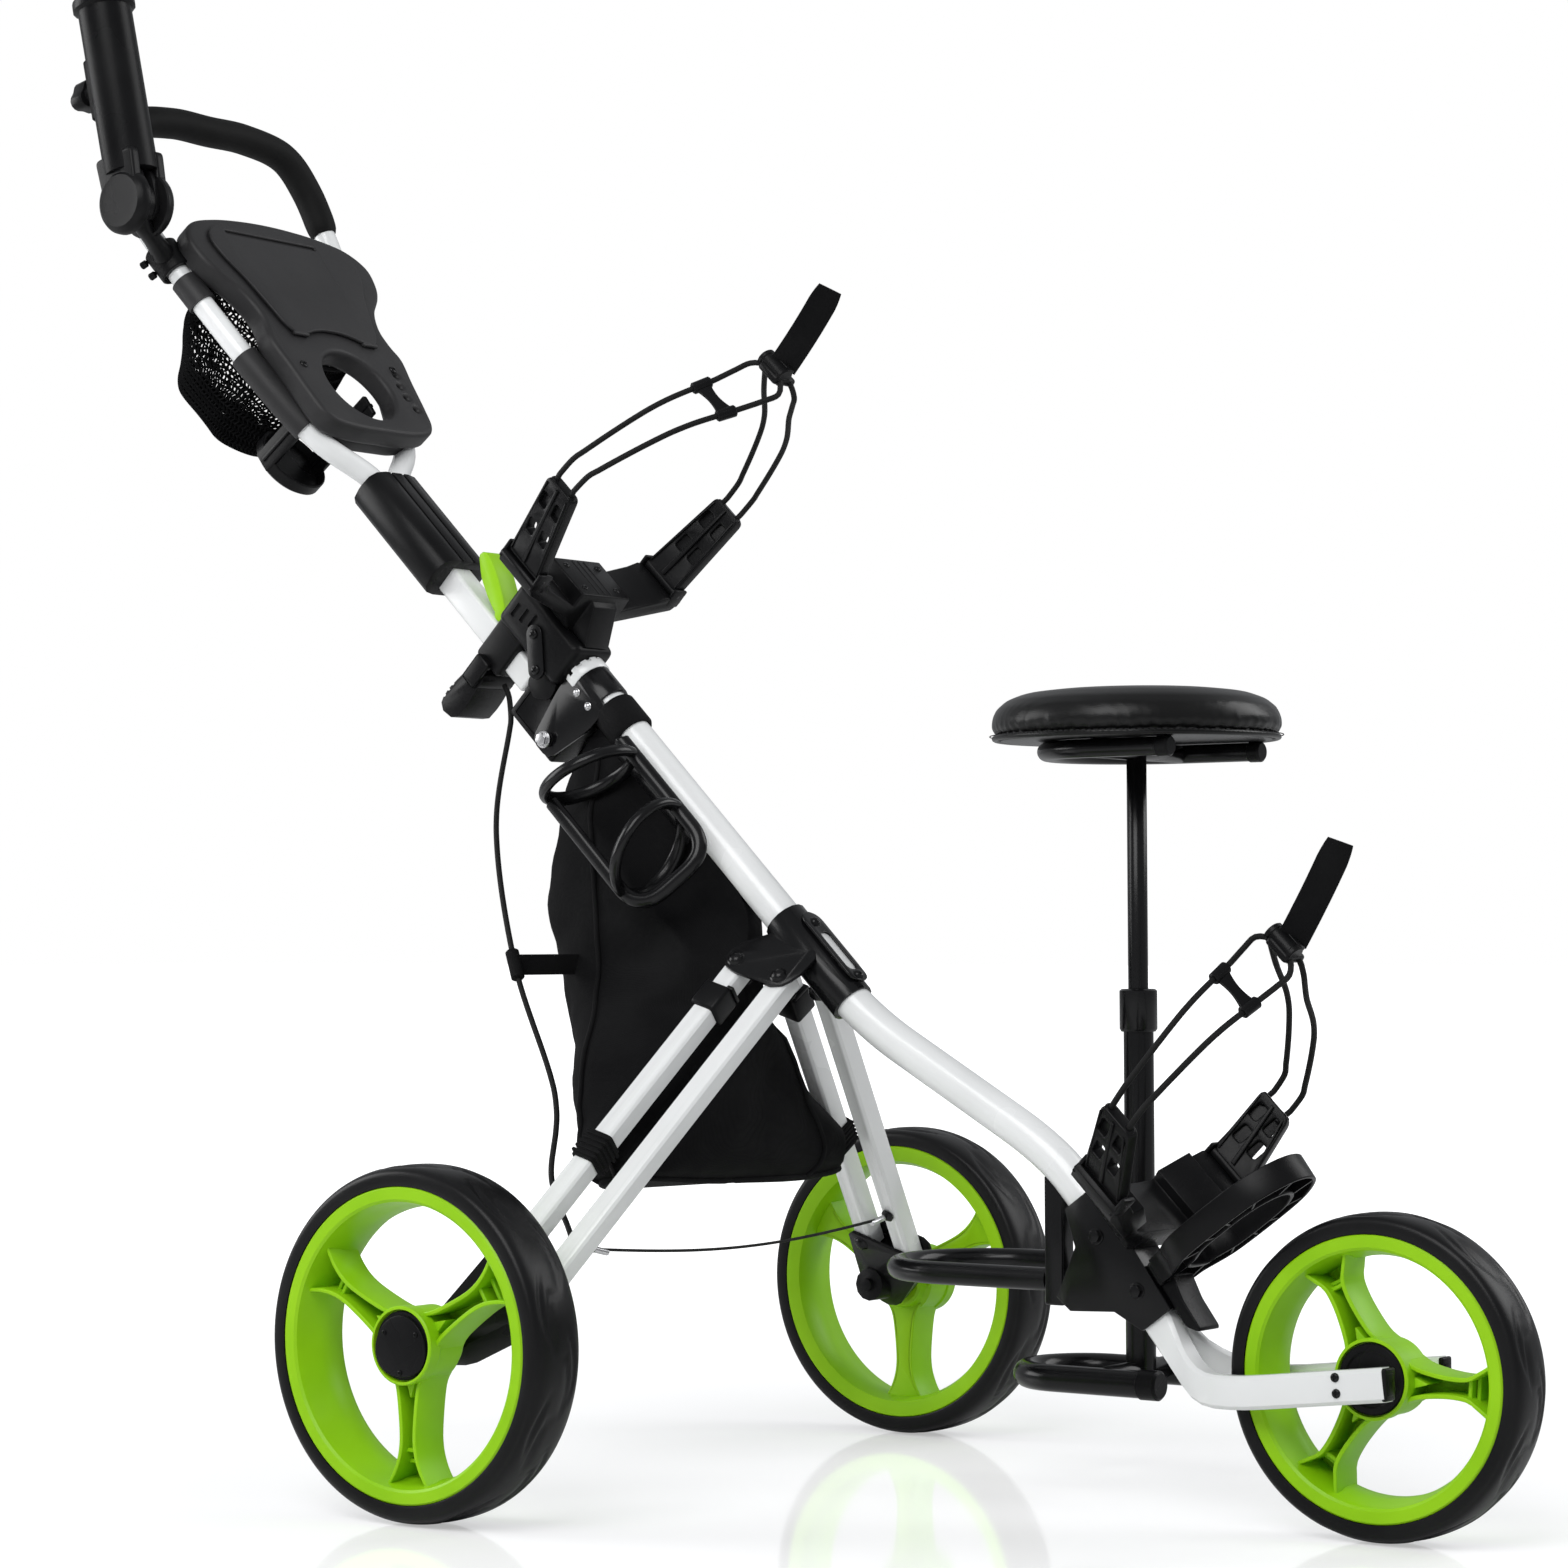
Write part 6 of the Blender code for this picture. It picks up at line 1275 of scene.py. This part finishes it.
def add_housing():
    """Housing over the tube's end: slotted shell, sleeve with the lever lugs, fold box and link plates."""
    shell = block((-0.668, -0.027, -0.02), (-0.5756, 0.027, 0.025), 0.0075, 4)
    crown = block((-0.66, -0.0215, 0.01), (-0.579, 0.0215, 0.0252), 0.004, 3)
    sleeve = block((-0.668, -0.02, -0.062), (-0.634, 0.02, -0.014), 0.004, 3)
    cuts = []
    for side in (-1.0, 1.0):
        for k in range(3):
            at = -0.654 + k * 0.011
            cuts.append(block((at - 0.0024, side * 0.027 - 0.0022, -0.006 + k * 0.003),
                              (at + 0.0024, side * 0.027 + 0.0022, 0.008 + k * 0.003), 0.0006, 1))
    shell = carve(shell, *cuts)
    box = block((-0.604, -0.0155, -0.0752), (-0.5362, 0.0155, -0.029), 0.003, 3)
    recess = [block((-0.598, side * 0.0155 - 0.0018, -0.07), (-0.564, side * 0.0155 + 0.0018, -0.035), 0.0015,
                    2) for side in (-1.0, 1.0)]
    box = carve(box, *recess)
    cheeks = [plate([rounded([(-0.606, -0.018), (-0.578, -0.018), (-0.574, -0.034), (-0.59, -0.046),
                              (-0.606, -0.04)], 0.006, 4, True)], low, low + 0.003, 0.0008, 2, UPRIGHT)
              for low in (-0.0186, 0.0156)]
    lugs = [block((-0.661, low, -0.0846), (-0.643, low + 0.004, -0.056), 0.003, 3)
            for low in (0.0223, -0.0263)]
    feet = [block((-0.66, low, -0.064), (-0.644, low + 0.0075, -0.056), 0.002, 2) for low in (0.018, -0.0255)]
    piece("fold_housing", join(shell, crown, sleeve, box, *cheeks, *lugs, *feet), "black_plastic", "handle",
          LINE, "clamp_housing", MOULDED)
    for name, side in SIDES:
        ends = ((-0.622, 0.001), (-0.598, -0.02))
        aim = Vector((ends[1][0] - ends[0][0], ends[1][1] - ends[0][1]))
        lean = atan2(aim.y, aim.x)
        line = [(ends[i][0] + 0.0088 * cos(a), ends[i][1] + 0.0088 * sin(a))
                for i, base in ((0, lean + pi / 2), (1, lean - pi / 2))
                for a in [base + pi * k / 12 for k in range(13)]]
        low = -side * 0.0278
        link = plate([line], low - 0.0018, low + 0.0018, 0.0008, 2, UPRIGHT)
        piece("fold_link_" + name, link, "black_steel", "handle", LINE)
        heads = [moved(screw_head(0.0046), shift(x, side * 0.0294, z) @ sideways(side)) for x, z in ends]
        piece("fold_link_screws_" + name, join(*heads), "black_steel", "handle", LINE)


def add_umbrella_clamp():
    """Ring on the loop, a curved arm up to the knuckle, and the knuckle's dished bosses."""
    ring = ring_ends(HOLDER, 0.015)
    middle = (ring[0] + ring[1]) / 2.0
    aim = (ring[1] - ring[0]).normalized()
    section = [(LOOP_R + r, z) for r, z in ((0.0003, -0.015), (0.0048, -0.015), (0.006, -0.0138),
                                            (0.006, 0.0138), (0.0048, 0.015), (0.0003, 0.015))]
    collar = turned(section, 40, True)
    moved(collar, facing(middle, aim))
    lean = (Vector((0.0, 0.0, -0.02)) - middle).normalized()
    arm = smooth([(0.0, 0.0, -0.004), (0.0, 0.002, -0.018), middle.lerp(Vector((0.0, 0.0, -0.018)), 0.45),
                  middle + lean * 0.013], 0.003)
    oval = circle(0.0, 0.0, 0.011, 24, 0.85)
    sizes = [1.15 - 0.25 * sin(pi * k / (len(arm) - 1)) for k in range(len(arm))]
    tongue = moved(turned([(0.0, -0.0036), (0.02, -0.0036), (0.0212, -0.0026), (0.0212, 0.0026),
                           (0.02, 0.0036), (0.0, 0.0036)], 40), spin("X", 90.0))
    ears = [bar(middle + aim * k + Vector((-0.014, -0.01, -0.004)),
                middle + aim * k + Vector((-0.02, -0.012, -0.006)), 0.0035, 18) for k in (-0.007, 0.007)]
    piece("umbrella_arm", join(collar, sweep(arm, oval, False, sizes), tongue, *ears), "black_plastic",
          "handle", HOLDER, "umbrella_clamp", MOULDED)
    for name, side in SIDES:
        boss = turned([(0.0, 0.0), (0.029, 0.0), (0.0302, 0.0014), (0.03, 0.0062), (0.0282, 0.0094),
                       (0.024, 0.0125), (0.016, 0.0122), (0.0, 0.0126)], 48)
        skirt = plate([rounded([(-0.0215, 0.006), (0.0215, 0.006), (0.024, 0.046), (-0.024, 0.046)], 0.006, 4,
                               True)], 0.0, 0.011, 0.003, 3)
        boss = join(boss, moved(skirt, spin("Z", 180.0 if side > 0.0 else 0.0)))
        piece("umbrella_boss_" + name, boss, "black_plastic", "umbrella",
              HOLDER @ shift(0.0, side * 0.0102) @ sideways(side))


def add_hooks():
    """Hook barrels with their lips, and the pull tabs."""
    for b, bend in zip(BRACKETS, ((-0.008, 0.08), (-0.024, 0.086))):
        half = [(0.008, 0.0096), (0.009, 0.0105), (0.009, 0.0135), (0.0078, 0.0145), (0.0, 0.0145)]
        barrel = turned([(r, -z) for r, z in reversed(half)] + half, 32)
        moved(barrel, spin("Y", 90.0))
        moved(barrel, shift(-0.003, -0.004, 0.004))
        lip = block((-0.0125, -0.014, -0.004), (0.0125, 0.014, 0.004), 0.003, 3)
        neck = block((-0.011, -0.004, 0.002), (0.011, 0.004, 0.013), 0.0018, 2)
        seat = LINE @ shift(b.hook[0], 0.0, b.hook[1])
        piece(b.name + "_hook_barrel", join(barrel, lip, neck), "black_plastic", b.body, seat,
              b.name + "_hook", MOULDED)
        run = [Vector((bend[0] * f, 0.002 * sin(f * 3.0), 0.008 + bend[1] * f))
               for f in [k / 16 for k in range(17)]]
        strap = [(-0.0011, -0.0125), (0.0011, -0.0125), (0.0013, 0.0), (0.0011, 0.0125), (-0.0011, 0.0125),
                 (-0.0013, 0.0)]
        tab = sweep(run, strap, up=Vector((0.57, 0.59, 0.57)), sizes=[1.0] * 14 + [0.97, 0.92, 0.84])
        piece(b.name + "_pull_tab", tab, "webbing", b.body, seat, sharp=MOULDED)


def add_strand_clips():
    """Wide strand clips on the right-hand loops."""
    for b in BRACKETS:
        path = strap_path(-1.0, b)
        low, high = (Vector(c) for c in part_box(b.name + "_slider"))
        middle = (low + high) / 2.0
        half = len(path) // 2
        spots = [min(range(*r), key=lambda i: (path[i] - middle).length)
                 for r in ((1, half), (half, len(path) - 1))]
        ends = [path[i] for i in spots]
        runs = [(path[i + 1] - path[i - 1]).normalized() for i in spots]
        barrels = [bar(p - d * 0.009, p + d * 0.009, 0.0052, 24, 0.0012) for p, d in zip(ends, runs)]
        across = ends[1] - ends[0]
        steps = [ends[0] + across * f for f in [k / 10 for k in range(11)]]
        sizes = [1.15 - 0.45 * sin(pi * k / 10) for k in range(11)]
        above = across.cross((runs[0] - runs[1]).normalized()).normalized()
        web = sweep(steps, strip(0.0062, 0.0019), False, sizes, above)
        piece(b.name + "_strand_clip", join(*barrels, web), "black_plastic", b.body, None, b.name + "_slider",
              MOULDED)


def add_cage():
    """Bottle cage: two smooth rings and two bent rails on a slotted spine."""
    ring_r = BOTTLE_R + CAGE_WIRE
    away = Vector((0.0, BOTTLE_AT[0], BOTTLE_AT[1]))
    shapes = []
    for at, tilt in ((CAGE_FROM + 0.008, 0.3), (CAGE_TO + 0.006, -0.35)):
        loop = [away + Vector((at + tilt * ring_r * sin(a), ring_r * cos(a), ring_r * sin(a)))
                for a in turns(64)]
        shapes.append(sweep(loop, circle(0.0, 0.0, 0.005, 16, 1.3), True))
    a = radians(68.0)
    over = Vector((0.0, cos(a), sin(a))) * ring_r
    foot, start = Vector((CAGE_TO + 0.045, 0.0, 0.0)), Vector((CAGE_FROM + 0.004, 0.0, 0.0))
    path = rounded([away + start + over, away + foot + over, away + foot - over, away + start - over], 0.03,
                   14)
    shapes.append(sweep(path, circle(0.0, 0.0, 0.0052, 16, 1.3)))
    reach = hypot(*BOTTLE_AT) - BOTTLE_R - CAGE_WIRE
    spine = block((CAGE_FROM - 0.012, -reach - 0.002, -0.009), (CAGE_TO + 0.012, -TUBE_R * 0.96, 0.009),
                  0.0016, 2)
    aim = Matrix.Rotation(atan2(BOTTLE_AT[1], BOTTLE_AT[0]) - pi, 4, "X")
    shapes.append(moved(spine, aim))
    piece("cage_rails", join(*shapes), "black_steel", "frame", LINE, "bottle_cage", 40.0)


def add_saddle_plate():
    """Face plate of the centre bracket with its long oval window and rivets."""
    mid = -0.2125
    frame_line = rounded([(mid - 0.034, -0.0125), (mid + 0.04, -0.0125), (mid + 0.044, 0.0),
                          (mid + 0.04, 0.0125), (mid - 0.034, 0.0125), (mid - 0.04, 0.0)], 0.008, 4, True)
    window = rounded(rectangle(mid - 0.014, -0.0065, mid + 0.03, 0.0065), 0.0064, 6, True)
    flat = plate([frame_line, window], 0.019, 0.0216, 0.0008, 2)
    pane = plate([rounded(rectangle(mid - 0.016, -0.008, mid + 0.032, 0.008), 0.007, 4, True)], 0.018, 0.0199,
                 0.0004, 1)
    piece("saddle_plate", flat, "black_steel", "frame", LINE)
    piece("saddle_window", pane, "white_paint", "frame", LINE)
    heads = [moved(rivet_head(0.0046), shift(x, 0.0, 0.0212)) for x in (mid - 0.026, mid + 0.037)]
    piece("saddle_rivets", join(*heads), "black_steel", "frame", LINE)


def add_rest_hoop():
    """Bag rest: an I-section hoop with cross webs, a flat scoop and its base."""
    base = TUBE_R + 0.003 + GAP
    rim = [(base + 0.006, 0.02), (base + 0.02, 0.026), (base + 0.045, 0.0415), (base + 0.085, 0.0445),
           (base + 0.12, 0.041), (base + 0.143, 0.0275), (0.1735, 0.01)]
    line = [(p.y, p.x) for p in round_trip(mirrored(rim), 0.004)]
    middle = base + 0.082
    at, deep = 0.058, 0.011
    outer, wide, narrow, inner, bore = (
        [(y * f, middle + (z - middle) * g) for y, z in line]
        for f, g in ((0.93, 0.955), (0.95, 0.965), (0.66, 0.67), (0.7, 0.7), (0.63, 0.645)))
    shapes = [plate([line, outer], at - deep, at + deep, 0.001, 2, ACROSS),
              plate([inner, bore], at - deep, at + deep, 0.001, 2, ACROSS),
              plate([wide, narrow], at - 0.0016, at + 0.0016, 0.0004, 1, ACROSS)]
    for k in range(12):
        a = tau * (k + 0.5) / 12
        a = a if a < pi else a - tau
        y, z = min(line, key=lambda p: abs(atan2(p[1] - middle, p[0]) - a))
        ends = [Vector((at, y * f, middle + (z - middle) * g)) for f, g in ((0.68, 0.69), (0.945, 0.96))]
        shapes.append(sweep(ends, strip(0.001, 0.0105), up=Vector((1.0, 0.0, 0.0))))
    lip = base + 0.001
    scoop = rounded([(at, lip), (at + 0.048, lip), (at + 0.058, lip + 0.008), (at + 0.056, lip + 0.0105),
                     (at + 0.03, lip + 0.0105), (at, lip + 0.016)], 0.003, 3, True)
    shapes.append(plate([scoop], -0.0155, 0.0155, 0.0012, 2, UPRIGHT))
    shapes.append(block((at - 0.011, -0.018, base), (at + 0.011, 0.018, base + 0.016), 0.003, 3))
    piece("rest_hoop", join(*shapes), "black_plastic", "frame", FORK, "bag_rest", MOULDED)


def add_rivets():
    """Domed rivets of the leg pivots, the fold bolt, the band, the gusset's bolts and the tube's collar."""
    reach = LEG / 2.0 + 0.0035 + 0.0042
    for name, side in SIDES:
        for at, body in (("top", "frame"), ("foot", name + "_foot")):
            heads = []
            for x in (0.0, -STEP):
                for out in ((-1.0, 1.0) if at == "top" else (side,)):
                    place = shift(x, 0.0, out * (reach - 0.0046)) @ spin("X", 0.0 if out > 0 else 180.0)
                    heads.append(moved(rivet_head(0.0062), place))
            piece(f"leg_rivets_{at}_{name}", join(*heads), "black_steel", body, leg_frame(side, at))
    bolts = on_sides(hex_head, 0.006, [(-0.5515, 0.0236, -0.0608)])
    piece("fold_bolt_heads", bolts, "bright_steel", "frame", LINE)
    rivets = on_sides(rivet_head, 0.003, [(x, 0.019, -0.008) for x in (-0.556, -0.538)])
    piece("band_rivets", rivets, "bright_steel", "frame", LINE)
    bolts = on_sides(hex_head, 0.0052, [(0.004, 0.0193, -0.004), (0.06, 0.0193, 0.002)])
    piece("gusset_bolts", bolts, "black_steel", "frame", FORK)
    section = [(TUBE_R + r, z) for r, z in ((0.0002, 0.0), (0.0036, 0.0), (0.0044, 0.0012), (0.0044, 0.0108),
                                            (0.0036, 0.012), (0.0002, 0.012))]
    collar = turned(section, 48, True)
    notches = [moved(block((TUBE_R + 0.0008, -0.0022, 0.008), (TUBE_R + 0.006, 0.0022, 0.014), 0.0003, 1),
                     Matrix.Rotation(a, 4, "Z")) for a in turns(12)]
    piece("tube_collar", carve(collar, *notches), "white_paint", "frame",
          LINE @ shift(-0.562) @ spin("Y", -90.0))


ROUNDED = {"front_fork": 0.0024, "fork_gusset": 0.0007, "seat_mount_post": 0.0012, "centre_bracket": 0.0007,
           "right_front_leg": 0.0016, "right_rear_leg": 0.0016, "left_front_leg": 0.0016,
           "left_rear_leg": 0.0016, "right_wheel_bracket": 0.0014, "left_wheel_bracket": 0.0014,
           "hinge_clevis": 0.0006, "upper_tube": 0.0012, "brake_lever": 0.0012, "release_lever": 0.0018,
           "handle_connector": 0.0012, "umbrella_holder": 0.0008, "umbrella_knob": 0.0014,
           "upper_cradle": 0.0018, "lower_cradle": 0.0018, "brake_arm": 0.0008}


set_camera()
set_stage()
dress_nodes()
add_straps()
add_cables()
add_wheels()
add_seat_pad()
add_bag()
add_net()
add_handle()
add_tubes()
add_console()
add_clips()
add_bracket_details()
add_housing()
add_umbrella_clamp()
add_hooks()
add_strand_clips()
add_cage()
add_saddle_plate()
add_rest_hoop()
add_rivets()
for node, edge in ROUNDED.items():
    soften(node, edge)
